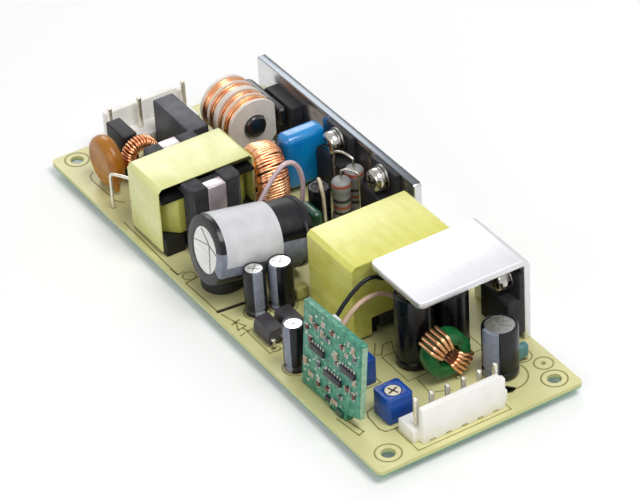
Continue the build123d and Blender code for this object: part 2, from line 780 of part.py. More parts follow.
def trimmer(which, x, y, turn):
    """A single-turn trimmer: square body with a round pocket and a slotted rotor in it."""
    body = block(x - trimmer_side / 2, x + trimmer_side / 2, y - trimmer_side / 2,
                 y + trimmer_side / 2, trimmer_seat, trimmer_seat + trimmer_height)
    body = chamfer(body.edges().filter_by(Axis.Z), 0.5)
    top = trimmer_seat + trimmer_height
    pocket = on_board(x, y, top - rotor_depth) * prism(rotor_radius + rotor_clearance,
                                                       2 * rotor_depth, 18)
    add("trimmer_bodies", body - pocket)
    floor = top - rotor_depth + 0.05
    rotor = on_board(x, y, floor) * prism(rotor_radius, rotor_depth - 0.15, 18)
    for cross in (0, 90):
        cut = on_board(x, y, top) * Rot(0, 0, turn + cross)
        rotor -= cut * Box(2 * rotor_radius - 0.7, rotor_slot, 1.0)
    add("trimmer_rotor_" + which, rotor)
    for dx, dy in ((-1.27, 0.0), (1.27, 1.27), (1.27, -1.27)):
        lead("output_leads", x + dx, y + dy, trimmer_seat)


def control_card():
    """The control card stands on edge, a little turned and leaning towards the transformer."""
    place = on_board(output_start + card_x, card_y) * Rot(0, 0, card_yaw) * Rot(-card_lean, 0, 0)
    seat = 0.3
    tab_end = card_tab_start + card_tab
    outline = Polyline((0, seat), (card_tab_start, seat), (card_tab_start, seat - 2.1),
                       (tab_end, seat - 2.1), (tab_end, seat + 1.3), (card_length, seat + 2.7),
                       (card_length, seat + card_height), (0, seat + card_height), close=True)
    add("control_card", place * extrude(Plane.XZ * make_face(outline), -card_thickness))
    chips = [(5.8, 11.5, 1.5, 4.9), (11.6, 7.9, 1.5, 6.0), (16.9, 12.4, 1.5, 4.9),
             (10.2, 1.6, 1.1, 2.4), (5.2, 17.0, 1.2, 1.9), (9.3, 16.1, 1.2, 1.9),
             (12.3, 13.6, 1.9, 1.2), (18.4, 18.3, 1.9, 1.2), (6.2, 8.4, 1.2, 1.9),
             (1.6, 6.5, 1.9, 1.2), (9.8, 3.9, 1.2, 1.9), (16.9, 8.1, 1.2, 1.9),
             (19.0, 7.6, 1.9, 1.2)]
    for along, up, tall, wide in chips:
        chip = Pos(along, -0.4, seat + up) * Box(wide, 0.8, tall)
        add("control_card_chips", place * chip)
    turn = radians(card_yaw)
    for index in range(card_pins):
        along, across = (index + 1) * card_pin_pitch, card_thickness + 0.25
        add("output_leads", place * Pos(along, across, 0) * Box(0.5, 0.5, card_pin_length))
        hole_x = output_start + card_x + along * cos(turn) - across * sin(turn)
        hole_y = card_y + along * sin(turn) + across * cos(turn)
        drill(hole_x, hole_y, 0.35)


def output_heatsink():
    face = board_width - plate_thickness
    x0 = output_start + plate_start
    x1 = x0 + plate_length
    inner = board_width - plate_width
    leg = block(x0, x1, face, face + plate_thickness, 0, plate_height)
    shelf = block(x0, x1, inner, face, plate_height - plate_thickness, plate_height)
    corners = shelf.edges().filter_by(Axis.Z).group_by(Axis.Y)[0]
    shelf = fillet(corners, plate_corner)
    plate = leg + shelf
    bend = plate.edges().filter_by(Axis.X)
    outer = [e for e in bend if e.center().Z > board_thickness + plate_height - 0.01
             and e.center().Y > board_width / 2 - 0.01]
    plate = fillet(outer, plate_bend)
    x = output_start + rectifier_x
    hole = on_board(x, face + 2 * plate_thickness, screw_height) * Rot(90, 0, 0)
    plate -= hole * prism(1.55, 3 * plate_thickness, 12)
    add("output_heatsink", plate)
    bolt, tab = power_package("output_rectifier", x, face, screw_height)
    machine_screw(bolt, plate_thickness - 0.1, tab)


def output_choke():
    """A coated ring core with two groups of heavy copper turns."""
    r, hole, width = output_choke_radius, output_choke_hole, output_choke_width
    wire_d = output_choke_wire
    ring = prism(r, width, 20)
    ring = chamfer(ring.edges().group_by(Axis.Z)[0] + ring.edges().group_by(Axis.Z)[-1], 0.5)
    ring = Pos(0, 0, -width / 2) * (ring - prism(hole, width, 20))
    seat = r + wire_d + 0.5
    place = on_board(output_start + output_choke_x, output_choke_y, seat) * Rot(0, 90, 0)
    add("output_choke_core", place * ring)
    inner = hole * cos(pi / 20) - 0.15 - wire_d / 2
    outer = r + 0.08 + wire_d / 2
    for group in (50.0, 212.0):
        for index in range(output_choke_turns):
            step = index - (output_choke_turns - 1) / 2
            near, far = (radians(group + step * pitch)
                         for pitch in (output_choke_inner_pitch, output_choke_outer_pitch))
            x0, y0 = inner * cos(near), inner * sin(near)
            x1, y1 = outer * cos(far), outer * sin(far)
            length = sqrt((x1 - x0) ** 2 + (y1 - y0) ** 2)
            loop = Rectangle(length + wire_d, width + 2 * wire_d)
            loop -= Rectangle(length - wire_d, width)
            turn = extrude(Plane.XZ * loop, wire_d / 2, both=True)
            middle = Pos((x0 + x1) / 2, (y0 + y1) / 2, 0)
            turn = middle * Rot(0, 0, degrees(atan2(y1 - y0, x1 - x0))) * turn
            add("output_choke_winding", place * turn)
    for side in (-1, 1):
        lead("output_leads", output_start + output_choke_x + side * 1.6,
             output_choke_y + side * 2.0, 0.4, output_choke_wire)


def flying_lead(name, points):
    add(name, wire(points, 1.3, 6))
    drill(points[-1][0], points[-1][1], 0.65)


def build():
    header("mains", header_edge_gap, mains_header_y, -1, (0, 2, 5), mains_pin_height)
    header("output", board_length - header_edge_gap, output_header_y, 1, range(header_ways),
           output_pin_height)
    fuse()
    x_capacitor()
    varistor()
    ring_choke()
    surge_diode()
    common_mode_choke()
    rear_heatsink()
    bridge_rectifier()
    power_transistors()
    boost_inductor()
    filter_choke()
    dipped_capacitor("film_capacitor", boost_start + film_cap_front - film_cap_thickness / 2,
                     film_cap_y, film_cap_length, film_cap_thickness, film_cap_height,
                     film_cap_seat, 7.5, True)
    bulk_capacitor()
    power_resistor(boost_start + resistor_one_x, resistor_one_y, 35, front_hairpin)
    power_resistor(boost_start + resistor_two_x, resistor_two_y, 200, rear_hairpin)
    dipped_capacitor("green_capacitor", boost_start + green_cap_x, green_cap_y,
                     green_cap_length, green_cap_thickness, green_cap_height, 0.6, 3.5, False)
    sleeved_loop()
    upright_capacitor(boost_start + 26.5, rear_face - 12.6, small_cap_radius,
                      small_cap_height - 0.5, 2.0)
    upright_capacitor(transformer_start + 2.8, 7.6, small_cap_radius,
                      small_cap_height, 2.0)
    upright_capacitor(transformer_start + 3.9, 13.6, aux_cap_radius,
                      small_cap_height, 2.5)
    upright_capacitor(transformer_start + 24.5, 4.1, small_cap_radius,
                      small_cap_height, 2.0)
    dipped_capacitor("ceramic_capacitor", transformer_start + 4.0, 18.3, 3.3, 2.4, 3.0, 0.4,
                     2.5, True)
    transformer()
    optocoupler(transformer_start + 12.2, 5.2)
    optocoupler(transformer_start + 12.2, 10.4)
    control_card()
    trimmer("front", output_start + 23.8, 12.4, 20)
    trimmer("rear", output_start + 9.8, 12.4, 60)
    output_heatsink()
    for back in (22.5, 13.2):
        upright_capacitor(output_start + 11.4, rear_face - back, output_cap_radius,
                          output_cap_height, 3.5, 16)
    upright_capacitor(output_start + 25.2, rear_face - 9.9, corner_cap_radius,
                      corner_cap_height, 3.5, 16)
    output_choke()
    dipped_capacitor("disc_capacitor", output_start + 24.6, rear_face - 4.2, 3.4, 2.0, 3.6, 0.8,
                     2.5, True)
    x = output_start
    tip = -board_thickness - lead_reach
    face = transformer_start + tx_x + tx_core_length / 2 + tape
    flying_lead("black_lead", [(face, 26.4, 15.0), (x + 1.0, 26.4, 15.0), (x + 0.8, 22.6, 17.8),
                               (x + 0.8, 18.0, 15.8), (x + 1.4, 12.7, 11.3),
                               (x + 2.2, 8.6, 5.0), (x + 2.2, 8.6, tip)])
    flying_lead("beige_lead", [(face, 30.0, 7.6), (x + 0.8, 30.0, 7.6), (x + 0.8, 25.6, 12.3),
                               (x + 0.8, 20.0, 12.5), (x + 1.2, 14.9, 9.0),
                               (x + 1.8, 11.4, 4.6), (x + 1.8, 11.4, tip)])
    circuit_board()


build()
os.makedirs("parts", exist_ok=True)
for name, solids in nodes.items():
    shape = solids[0] if len(solids) == 1 else Compound(children=solids)
    export_step(shape, os.path.join("parts", name + ".step"))
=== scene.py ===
import random
from math import atan2, cos, degrees, pi, radians, sin, sqrt

import bmesh
import bpy
from mathutils import Euler, Matrix, Vector


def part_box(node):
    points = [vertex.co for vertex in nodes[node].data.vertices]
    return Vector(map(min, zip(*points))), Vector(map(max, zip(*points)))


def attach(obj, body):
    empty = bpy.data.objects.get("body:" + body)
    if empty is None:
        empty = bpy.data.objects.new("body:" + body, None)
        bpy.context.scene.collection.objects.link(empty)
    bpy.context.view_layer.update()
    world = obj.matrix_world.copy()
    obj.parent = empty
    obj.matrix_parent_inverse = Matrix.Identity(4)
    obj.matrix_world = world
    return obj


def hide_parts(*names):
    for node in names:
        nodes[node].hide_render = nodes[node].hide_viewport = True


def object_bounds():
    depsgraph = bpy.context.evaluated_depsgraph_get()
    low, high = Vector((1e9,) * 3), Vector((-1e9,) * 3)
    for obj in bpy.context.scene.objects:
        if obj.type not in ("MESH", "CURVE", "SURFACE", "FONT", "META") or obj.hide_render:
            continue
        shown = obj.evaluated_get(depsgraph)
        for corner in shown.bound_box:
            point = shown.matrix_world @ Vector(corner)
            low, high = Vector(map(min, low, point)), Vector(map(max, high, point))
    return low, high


print("stage: frame")
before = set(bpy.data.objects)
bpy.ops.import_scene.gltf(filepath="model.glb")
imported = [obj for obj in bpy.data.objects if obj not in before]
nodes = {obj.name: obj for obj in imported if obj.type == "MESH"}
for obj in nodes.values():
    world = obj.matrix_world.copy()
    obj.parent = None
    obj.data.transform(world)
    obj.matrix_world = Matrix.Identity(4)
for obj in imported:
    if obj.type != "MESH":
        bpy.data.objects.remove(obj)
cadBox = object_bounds()
scene = bpy.context.scene
mm = 0.001
board = {"length": 139.7, "width": 50.8, "thickness": 1.2}


# places on the board: millimetres from its mains-end left corner, and above its top face
def onBoard(x, y, z=0.0):
    return Vector(((x - board["length"] / 2) * mm, (y - board["width"] / 2) * mm,
                   (board["thickness"] + z) * mm))


# the matrix that puts a shape drawn in millimetres there
def spot(x, y, z=0.0, turn=(0, 0, 0)):
    turned = Euler([radians(a) for a in turn]).to_matrix().to_4x4()
    return Matrix.Translation(onBoard(x, y, z)) @ turned @ Matrix.Scale(mm, 4)


# a colour as a screen shows it, for the shaders
def tone(red, green, blue):
    def linear(value):
        value /= 255
        return value / 12.92 if value <= 0.04045 else ((value + 0.055) / 1.055) ** 2.4
    return (linear(red), linear(green), linear(blue), 1.0)


class Wire:
    # a socket that can be used in plain arithmetic
    def __init__(self, graph, socket):
        self.graph = graph
        self.socket = socket

    def sum(self, operation, one, two):
        return self.graph.add("ShaderNodeMath", {"operation": operation}, {0: one, 1: two})

    def __add__(self, other):
        return self.sum("ADD", self, other)

    def __radd__(self, other):
        return self.sum("ADD", other, self)

    def __sub__(self, other):
        return self.sum("SUBTRACT", self, other)

    def __rsub__(self, other):
        return self.sum("SUBTRACT", other, self)

    def __mul__(self, other):
        return self.sum("MULTIPLY", self, other)

    def __rmul__(self, other):
        return self.sum("MULTIPLY", other, self)

    def __truediv__(self, other):
        return self.sum("DIVIDE", self, other)

    def __gt__(self, other):
        return self.sum("GREATER_THAN", self, other)

    def op(self, operation, other=0.0):
        return self.sum(operation, self, other)


class Graph:
    def __init__(self, tree):
        self.tree = tree

    def add(self, kind, settings=None, values=None, out=0):
        made = self.tree.nodes.new(kind)
        for key, item in (settings or {}).items():
            setattr(made, key, item)
        for key, item in (values or {}).items():
            socket = made.inputs[key]
            if isinstance(item, Wire):
                self.tree.links.new(item.socket, socket)
            else:
                socket.default_value = item
        return Wire(self, made.outputs[out])


paints = {}


class Paint(Graph):
    # one material: a Principled shader fed from Object coordinates
    def __init__(self, name):
        self.material = paints[name] = bpy.data.materials.new(name)
        self.material.use_nodes = True
        super().__init__(self.material.node_tree)
        self.shader = self.tree.nodes["Principled BSDF"]
        self.place = self.add("ShaderNodeTexCoord", out=3)

    def noise(self, scale, detail=2.0, rough=0.5, stretch=None):
        where = self.place
        if stretch:
            where = self.add("ShaderNodeVectorMath", {"operation": "MULTIPLY"},
                             {0: where, 1: stretch})
        return self.add("ShaderNodeTexNoise", None,
                        {"Vector": where, "Scale": scale, "Detail": detail, "Roughness": rough})

    def axis(self, index):
        return self.add("ShaderNodeSeparateXYZ", None, {0: self.place}, index)

    def blend(self, factor, one, two):
        return self.add("ShaderNodeMix", {"data_type": "RGBA"}, {0: factor, 6: one, 7: two}, 2)

    def band(self, value, low, high):
        return self.add("ShaderNodeMapRange", None, {0: value, 1: low, 2: high, 3: 0.0, 4: 1.0})

    def bump(self, height, strength, distance=0.0002):
        return self.add("ShaderNodeBump", None,
                        {"Strength": strength, "Distance": distance, "Height": height})

    def set(self, **values):
        names = {"colour": "Base Color", "rough": "Roughness", "metal": "Metallic",
                 "normal": "Normal", "coat": "Coat Weight", "coatRough": "Coat Roughness",
                 "specular": "Specular IOR Level", "glow": "Emission Color",
                 "glowing": "Emission Strength"}
        for key, item in values.items():
            socket = self.shader.inputs[names[key]]
            if isinstance(item, Wire):
                self.tree.links.new(item.socket, socket)
            else:
                socket.default_value = item


# a plain finish: two shades in soft patches, a fine grain, and a roughness that follows both
def finish(name, one, two, patch, roughness, bump, grain=4200, metal=0.0, coat=None, shine=None):
    paint = Paint(name)
    cloud = paint.noise(patch, 3, 0.55)
    specks = paint.noise(grain, 2, 0.6)
    colour = paint.blend(paint.band(cloud, 0.36, 0.64), tone(*one), tone(*two))
    low, high = roughness
    rough = paint.band(cloud * 0.6 + specks * 0.4, 0.3, 0.7) * (high - low) + low
    paint.set(colour=colour, rough=rough, normal=paint.bump(specks, bump, 0.00006), metal=metal)
    if coat is not None:
        paint.set(coat=coat, coatRough=0.08)
    if shine is not None:
        paint.set(specular=shine)


# two shades as seen on a screen, the scale of their patches, roughness from and to, bump
finish("header nylon", (253, 251, 247), (247, 244, 237), 260, (0.35, 0.5), 0.1)
finish("tinned metal", (214, 210, 202), (168, 163, 152), 900, (0.18, 0.34), 0.25, metal=1.0)
finish("bright pins", (240, 236, 224), (214, 208, 192), 700, (0.18, 0.3), 0.1, metal=0.75)
finish("solder", (206, 206, 204), (160, 160, 158), 1500, (0.15, 0.4), 0.4, metal=1.0)
finish("black moulding", (34, 33, 36), (44, 43, 46), 500, (0.42, 0.6), 0.35, grain=6000, shine=0.3)
finish("opto moulding", (54, 52, 57), (66, 63, 69), 500, (0.38, 0.52), 0.3, grain=6000)
finish("slate moulding", (58, 59, 69), (49, 50, 59), 300, (0.38, 0.52), 0.2)
finish("grey ferrite", (64, 64, 67), (50, 50, 53), 700, (0.45, 0.7), 0.5, grain=5200, shine=0.3)
finish("black ferrite", (24, 24, 27), (32, 32, 35), 300, (0.14, 0.3), 0.2, coat=0.5)
finish("copper wire", (252, 194, 146), (222, 146, 98), 420, (0.2, 0.36), 0.1, metal=1.0, coat=0.5)
# a lighter copy of the copper wire: painted light on the large ring and output choke windings
finish("bright copper", (255, 204, 158), (244, 168, 118), 420, (0.15, 0.28), 0.1, metal=0.9,
       coat=0.6)
finish("white nylon", (238, 230, 221), (224, 214, 203), 240, (0.35, 0.5), 0.12)
finish("black bobbin", (22, 21, 22), (32, 31, 31), 500, (0.4, 0.6), 0.2, shine=0.3)
finish("spring steel", (220, 208, 211), (200, 184, 188), 420, (0.24, 0.38), 0.1, metal=0.55)
finish("blue dip", (14, 148, 220), (8, 126, 202), 150, (0.12, 0.26), 0.14, grain=1100, coat=0.5)
finish("bung rubber", (40, 40, 40), (52, 50, 50), 500, (0.6, 0.8), 0.3)
finish("silicone pad", (20, 20, 22), (28, 28, 30), 240, (0.45, 0.62), 0.25)
finish("plated screw", (206, 203, 198), (172, 168, 162), 700, (0.1, 0.2), 0.06, metal=1.0)
finish("washer steel", (162, 160, 156), (126, 124, 120), 900, (0.22, 0.36), 0.15, metal=1.0)
finish("resistor grey", (150, 151, 150), (130, 132, 130), 420, (0.4, 0.55), 0.3, grain=3000)
finish("green dip", (34, 84, 62), (24, 66, 50), 300, (0.2, 0.35), 0.15, coat=0.4)
finish("teal dip", (92, 142, 142), (74, 122, 124), 300, (0.3, 0.45), 0.15)
finish("pink sleeving", (228, 204, 210), (212, 182, 188), 1600, (0.25, 0.45), 0.4, grain=3400,
       coat=0.4)
finish("green laminate", (82, 160, 134), (40, 118, 92), 900, (0.3, 0.45), 0.25, grain=1500)
finish("chip black", (46, 42, 52), (34, 31, 40), 900, (0.35, 0.5), 0.2)
finish("chip tan", (186, 168, 142), (160, 140, 116), 900, (0.35, 0.5), 0.2)
finish("blue moulding", (8, 76, 168), (4, 62, 148), 300, (0.25, 0.4), 0.12)
finish("green core", (22, 112, 56), (14, 92, 44), 500, (0.25, 0.4), 0.3, grain=2400)
finish("black insulation", (16, 18, 28), (22, 24, 34), 500, (0.35, 0.5), 0.1, shine=0.35)
finish("beige insulation", (240, 208, 184), (228, 192, 168), 500, (0.35, 0.5), 0.1)
finish("cream sleeving", (228, 216, 188), (208, 196, 166), 900, (0.3, 0.45), 0.1)
finish("bright solder", (228, 226, 218), (186, 184, 176), 1500, (0.25, 0.42), 0.3, metal=0.55)
finish("card edge", (168, 198, 168), (140, 178, 150), 900, (0.4, 0.55), 0.2)
finish("pale glass", (206, 200, 184), (168, 160, 142), 500, (0.08, 0.2), 0.05, coat=0.6)
finish("ochre dip", (184, 122, 30), (156, 92, 16), 160, (0.2, 0.34), 0.14, grain=900, shine=0.45)
finish("yellow dip", (212, 206, 128), (188, 182, 100), 600, (0.3, 0.45), 0.3)
finish("scored metal", (134, 132, 128), (108, 106, 104), 700, (0.35, 0.5), 0.1, metal=0.6)
finish("band dark", (46, 40, 40), (60, 50, 48), 700, (0.35, 0.5), 0.1)
finish("chip brown", (112, 62, 44), (88, 46, 34), 900, (0.35, 0.5), 0.2)
finish("chip slate", (92, 92, 104), (74, 74, 86), 900, (0.35, 0.5), 0.2)
finish("band orange", (178, 92, 72), (156, 76, 58), 700, (0.35, 0.5), 0.1)
finish("ink", (142, 134, 78), (156, 148, 92), 900, (0.5, 0.7), 0.1)
finish("dark ink", (40, 38, 28), (54, 52, 38), 900, (0.45, 0.6), 0.1)
finish("print grey", (134, 140, 154), (118, 124, 138), 700, (0.3, 0.42), 0.08)
finish("print white", (222, 222, 226), (210, 210, 216), 300, (0.3, 0.42), 0.08)


# the glass-epoxy board: cream mask above, greener mask on the underside and edges
def boardPaint():
    paint = Paint("board laminate")
    height = paint.axis(2)
    cloud = paint.noise(70, 3)
    weave = paint.noise(2600, 2)
    top = paint.blend(paint.band(cloud, 0.35, 0.65), tone(225, 221, 162), tone(215, 211, 150))
    edge = paint.blend(weave, tone(216, 213, 150), tone(196, 196, 128))
    low = paint.blend(cloud, tone(112, 176, 142), tone(92, 154, 122))
    side = paint.blend(paint.band(height, 0.0002, 0.00038), low, edge)
    colour = paint.blend(height > 0.00116, side, top)
    rough = paint.band(cloud, 0.3, 0.7) * 0.12 + 0.34
    paint.set(colour=colour, rough=rough, normal=paint.bump(weave, 0.12, 0.00005))


# several turns of polyester film: faint lines across, a soft sheen, darker where it overlaps
def tapePaint(name, light, dark, across):
    paint = Paint(name)
    wind = paint.noise(420, 3, 0.5, (0.25, 1.0, 1.0) if across else (1.0, 0.25, 0.25))
    wrinkle = paint.noise(160, 4, 0.6)
    mixed = paint.band(wind * 0.5 + wrinkle * 0.5, 0.38, 0.62)
    colour = paint.blend(mixed, tone(*light), tone(*dark))
    rough = paint.band(wrinkle, 0.3, 0.7) * 0.16 + 0.22
    height = wind * 0.6 + wrinkle
    paint.set(colour=colour, rough=rough, normal=paint.bump(height, 0.35, 0.0002), coat=0.3,
              coatRough=0.2)


# mill-finish sheet, with its rolling marks along X
def sheetPaint(name, light, dark, low, high, rim=None):
    paint = Paint(name)
    lines = paint.noise(900, 3, 0.6, (0.04, 1.0, 1.0))
    cloud = paint.noise(90, 3)
    speck = paint.noise(2600, 2)
    mixed = paint.band(lines * 0.5 + cloud * 0.5, 0.36, 0.64)
    colour = paint.blend(mixed, tone(*light), tone(*dark))
    if rim is not None:
        # the top edge is painted a duller, darker grey than the face: painted shade that holds
        # down the lamp's glare on it
        colour = paint.blend(paint.axis(2) > rim, colour, tone(108, 113, 119))
    rough = paint.band(lines * 0.5 + speck * 0.5, 0.3, 0.7) * (high - low) + low
    paint.set(colour=colour, rough=rough, metal=1.0,
              normal=paint.bump(lines + speck * 0.5, 0.16, 0.00006))


# shrunk sleeving, glossy and a little uneven
def sleevePaint(name, one, two):
    paint = Paint(name)
    cloud = paint.noise(240, 3)
    grain = paint.noise(1700, 2)
    colour = paint.blend(paint.band(cloud, 0.36, 0.64), tone(*one), tone(*two))
    rough = paint.band(cloud, 0.3, 0.7) * 0.14 + 0.2
    paint.set(colour=colour, rough=rough, normal=paint.bump(grain, 0.12, 0.0001), specular=0.4)


# a pale rotor whose top face is pale; the screwdriver slot and the sides below it are painted dark
# as painted shade
def rotorPaint(top):
    paint = Paint("slotted rotor")
    cloud = paint.noise(700, 3)
    face = paint.blend(cloud, tone(236, 228, 206), tone(218, 208, 182))
    # painted shade: everything below the top face is dark
    colour = paint.blend(paint.axis(2) > top - 0.00025, tone(44, 42, 40), face)
    paint.set(colour=colour, rough=cloud * 0.1 + 0.35, normal=paint.bump(cloud, 0.1))


boardPaint()
rotorPaint(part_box("trimmer_rotor_front")[1][2])
tapePaint("yellow tape", (232, 230, 126), (216, 213, 96), True)
tapePaint("pale tape", (230, 232, 162), (217, 220, 140), True)
tapePaint("olive tape", (208, 206, 108), (182, 180, 80), False)
sheetPaint("bare aluminium", (228, 228, 231), (216, 216, 220), 0.36, 0.5)
sheetPaint("polished aluminium", (222, 222, 222), (206, 206, 207), 0.16, 0.28,
           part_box("rear_heatsink")[1][2] - 0.00015)
sheetPaint("can aluminium", (232, 232, 230), (206, 206, 204), 0.16, 0.32)
sleevePaint("black sleeve", (13, 14, 21), (9, 10, 15))

print("stage: paint on the modelled parts")
wearing = {
    "board laminate": ("circuit_board",),
    "header nylon": ("mains_header_housing", "output_header_housing"),
    "bright pins": ("mains_header_pins", "output_header_pins"),
    "tinned metal": ("mains_leads", "power_leads", "capacitor_leads", "output_leads"),
    "black moulding": ("fuse", "bridge_rectifier", "power_transistors", "output_rectifier"),
    "opto moulding": ("optocouplers",),
    "chip black": ("control_card_chips",),
    "pale glass": ("surge_diode",),
    "slate moulding": ("x_capacitor",),
    "ochre dip": ("varistor",),
    "grey ferrite": ("ring_choke_core", "filter_choke_core", "boost_core", "transformer_core"),
    "black ferrite": ("common_mode_core",),
    "copper wire": ("ring_choke_winding", "filter_choke_winding", "common_mode_windings"),
    # a lighter copy of the copper wire, painted light, for the output choke winding
    "bright copper": ("output_choke_winding",),
    "white nylon": ("common_mode_bobbin",),
    "black bobbin": ("boost_bobbin", "transformer_bobbin"),
    "olive tape": ("boost_coil", "transformer_coil"),
    "pale tape": ("boost_tape",),
    "yellow tape": ("transformer_tape",),
    "spring steel": ("core_clips",),
    "bare aluminium": ("rear_heatsink", "output_heatsink"),
    "blue dip": ("film_capacitor",),
    "can aluminium": ("bulk_capacitor_can", "capacitor_cans"),
    "black sleeve": ("bulk_capacitor_sleeve", "capacitor_sleeves"),
    "bung rubber": ("bulk_capacitor_bung",),
    "silicone pad": ("bulk_capacitor_pad",),
    "plated screw": ("heatsink_screws",),
    "washer steel": ("heatsink_washers",),
    "resistor grey": ("power_resistors",),
    "green dip": ("green_capacitor",),
    "teal dip": ("disc_capacitor",),
    "yellow dip": ("ceramic_capacitor",),
    "pink sleeving": ("sleeved_link",),
    "green laminate": ("control_card",),
    "blue moulding": ("trimmer_bodies",),
    "slotted rotor": ("trimmer_rotor_front", "trimmer_rotor_rear"),
    "green core": ("output_choke_core",),
    "black insulation": ("black_lead",),
    "beige insulation": ("beige_lead",),
}
for material, names in wearing.items():
    for name in names:
        nodes[name].data.materials.clear()
        nodes[name].data.materials.append(paints[material])


# pours a bmesh into a new mesh
def poured(bm, name="part"):
    mesh = bpy.data.meshes.new(name)
    bm.to_mesh(mesh)
    bm.free()
    return mesh


# the same, with its faces turned outwards first
def done(bm, name):
    bmesh.ops.recalc_face_normals(bm, faces=bm.faces)
    return poured(bm, name)


# a finished piece on the board, from a bmesh or a mesh: its paint and what it replaces
def keep(name, shape, paint, smooth=None, replaces=()):
    mesh = done(shape, name) if isinstance(shape, bmesh.types.BMesh) else shape
    piece = bpy.data.objects.new(name, mesh)
    scene.collection.objects.link(piece)
    for item in ([paint] if isinstance(paint, str) else paint or ()):
        mesh.materials.append(paints[item])
    if smooth is not None:
        mesh.shade_smooth()
        mesh.set_sharp_from_angle(angle=radians(smooth))
    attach(piece, "supply")
    if replaces:
        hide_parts(*replaces)
    return piece


# the lower half of a profile, what is at its middle, and its mirror image above
def mirrored(lower, middle=()):
    return [*lower, *middle, *[(radius, -height) for radius, height in reversed(lower)]]


# one turned solid: profile points are (radius, height) from the foot upwards
def turned(bm, profile, place, segments=40, start=0.0, sweep=360.0, paint=0):
    whole = abs(sweep - 360) < 0.001
    count = segments if whole else segments + 1
    rings = []
    for radius, height in profile:
        if radius < 1e-6 and whole:
            rings.append([bm.verts.new(place @ Vector((0, 0, height)))])
            continue
        ring = []
        for index in range(count):
            angle = radians(start + sweep * index / segments)
            point = Vector((radius * cos(angle), radius * sin(angle), height))
            ring.append(bm.verts.new(place @ point))
        rings.append(ring)
    for low, high in zip(rings, rings[1:]):
        for index in range(segments):
            after = (index + 1) % count
            if len(low) == 1 and len(high) == 1:
                continue
            if len(low) == 1:
                corner = [low[0], high[after], high[index]]
            elif len(high) == 1:
                corner = [low[index], low[after], high[0]]
            else:
                corner = [low[index], low[after], high[after], high[index]]
            bm.faces.new(corner).material_index = paint


# a plain box
def slab(bm, size, place, paint=0):
    made = bmesh.ops.create_cube(bm, size=1.0, matrix=place @ Matrix.Diagonal((*size, 1.0)))
    for face in {f for v in made["verts"] for f in v.link_faces}:
        face.material_index = paint


# adds a mesh to a bmesh and throws the mesh away
def absorb(bm, mesh):
    bm.from_mesh(mesh)
    bpy.data.meshes.remove(mesh)


# the plain mesh of an object with its modifiers or its bevel worked out
def evaluated(piece):
    bpy.context.view_layer.update()
    ready = piece.evaluated_get(bpy.context.evaluated_depsgraph_get())
    return bpy.data.meshes.new_from_object(ready)


# the lowest and the highest corner of some points
def corners(points):
    return (Vector([min(p[i] for p in points) for i in range(3)]),
            Vector([max(p[i] for p in points) for i in range(3)]))


# joins the points that lie in one place
def weld(bm, gap):
    bmesh.ops.remove_doubles(bm, verts=bm.verts, dist=gap)


# a mesh as a bmesh, joined up
def opened(mesh, gap):
    bm = bmesh.new()
    bm.from_mesh(mesh)
    weld(bm, gap)
    return bm


# takes off what lies past a plane and closes the cut
def cutAway(bm, place, facing):
    made = bmesh.ops.bisect_plane(bm, geom=bm.verts[:] + bm.edges[:] + bm.faces[:],
                                  plane_co=place, plane_no=facing, clear_outer=True)
    bmesh.ops.holes_fill(bm, edges=[e for e in made["geom_cut"]
                                    if isinstance(e, bmesh.types.BMEdge)])


# a box with every edge rounded
def softBox(bm, size, place, rounding, segments=3, paint=0):
    part = bmesh.new()
    bmesh.ops.create_cube(part, size=1.0, matrix=Matrix.Diagonal((*size, 1.0)))
    bmesh.ops.bevel(part, geom=part.edges[:], offset=rounding, offset_type="OFFSET",
                    segments=segments, profile=0.5, affect="EDGES", clamp_overlap=True)
    bmesh.ops.transform(part, matrix=place, verts=part.verts)
    for face in part.faces:
        face.material_index = paint
    absorb(bm, poured(part))


# the same in the place that some points take up
def boxAround(bm, points, rounding, segments):
    low, high = corners(points)
    softBox(bm, (high - low) / mm, Matrix.Translation((low + high) / 2) @ Matrix.Scale(mm, 4),
            rounding, segments)


# a copy of a modelled node with its hard edges eased
def softened(name, node, width, paint, segments=2, angle=28, smooth=35):
    bm = opened(nodes[node].data, 1e-6)
    bmesh.ops.dissolve_limit(bm, angle_limit=radians(1), verts=bm.verts, edges=bm.edges)
    hard = [e for e in bm.edges if len(e.link_faces) == 2
            and e.calc_face_angle(0.0) > radians(angle)]
    bmesh.ops.bevel(bm, geom=hard, offset=width * mm, offset_type="OFFSET", segments=segments,
                    profile=0.5, affect="EDGES", clamp_overlap=True)
    for face in bm.faces:
        face.material_index = 0
    mesh = poured(bm, name)
    mesh.materials.clear()
    keep(name, mesh, paint, smooth=smooth, replaces=[node])


# the points of a node's separate solids, one list for each
def islands(node):
    bm = opened(nodes[node].data, 1e-6)
    found, seen = [], set()
    for first in bm.verts:
        if first in seen:
            continue
        seen.add(first)
        grown = [first]
        for vert in grown:
            for link in vert.link_edges:
                other = link.other_vert(vert)
                if other not in seen:
                    seen.add(other)
                    grown.append(other)
        found.append([v.co.copy() for v in grown])
    bm.free()
    return found


# a smooth bent wire through board places
def wireCurve(name, points, radius, resolution):
    curve = bpy.data.curves.new(name, "CURVE")
    curve.dimensions = "3D"
    curve.bevel_depth = radius * mm
    curve.bevel_resolution = 3
    curve.resolution_u = resolution
    curve.use_fill_caps = True
    spline = curve.splines.new("NURBS")
    spline.points.add(len(points) - 1)
    for point, place in zip(spline.points, points):
        point.co = (*onBoard(*place), 1.0)
    spline.order_u = 3
    spline.use_endpoint_u = True
    piece = bpy.data.objects.new(name, curve)
    scene.collection.objects.link(piece)
    return piece


# the same as a plain mesh
def wireMesh(points, radius, resolution):
    piece = wireCurve("bent wire", points, radius, resolution)
    mesh = evaluated(piece)
    curve = piece.data
    bpy.data.objects.remove(piece)
    bpy.data.curves.remove(curve)
    return mesh


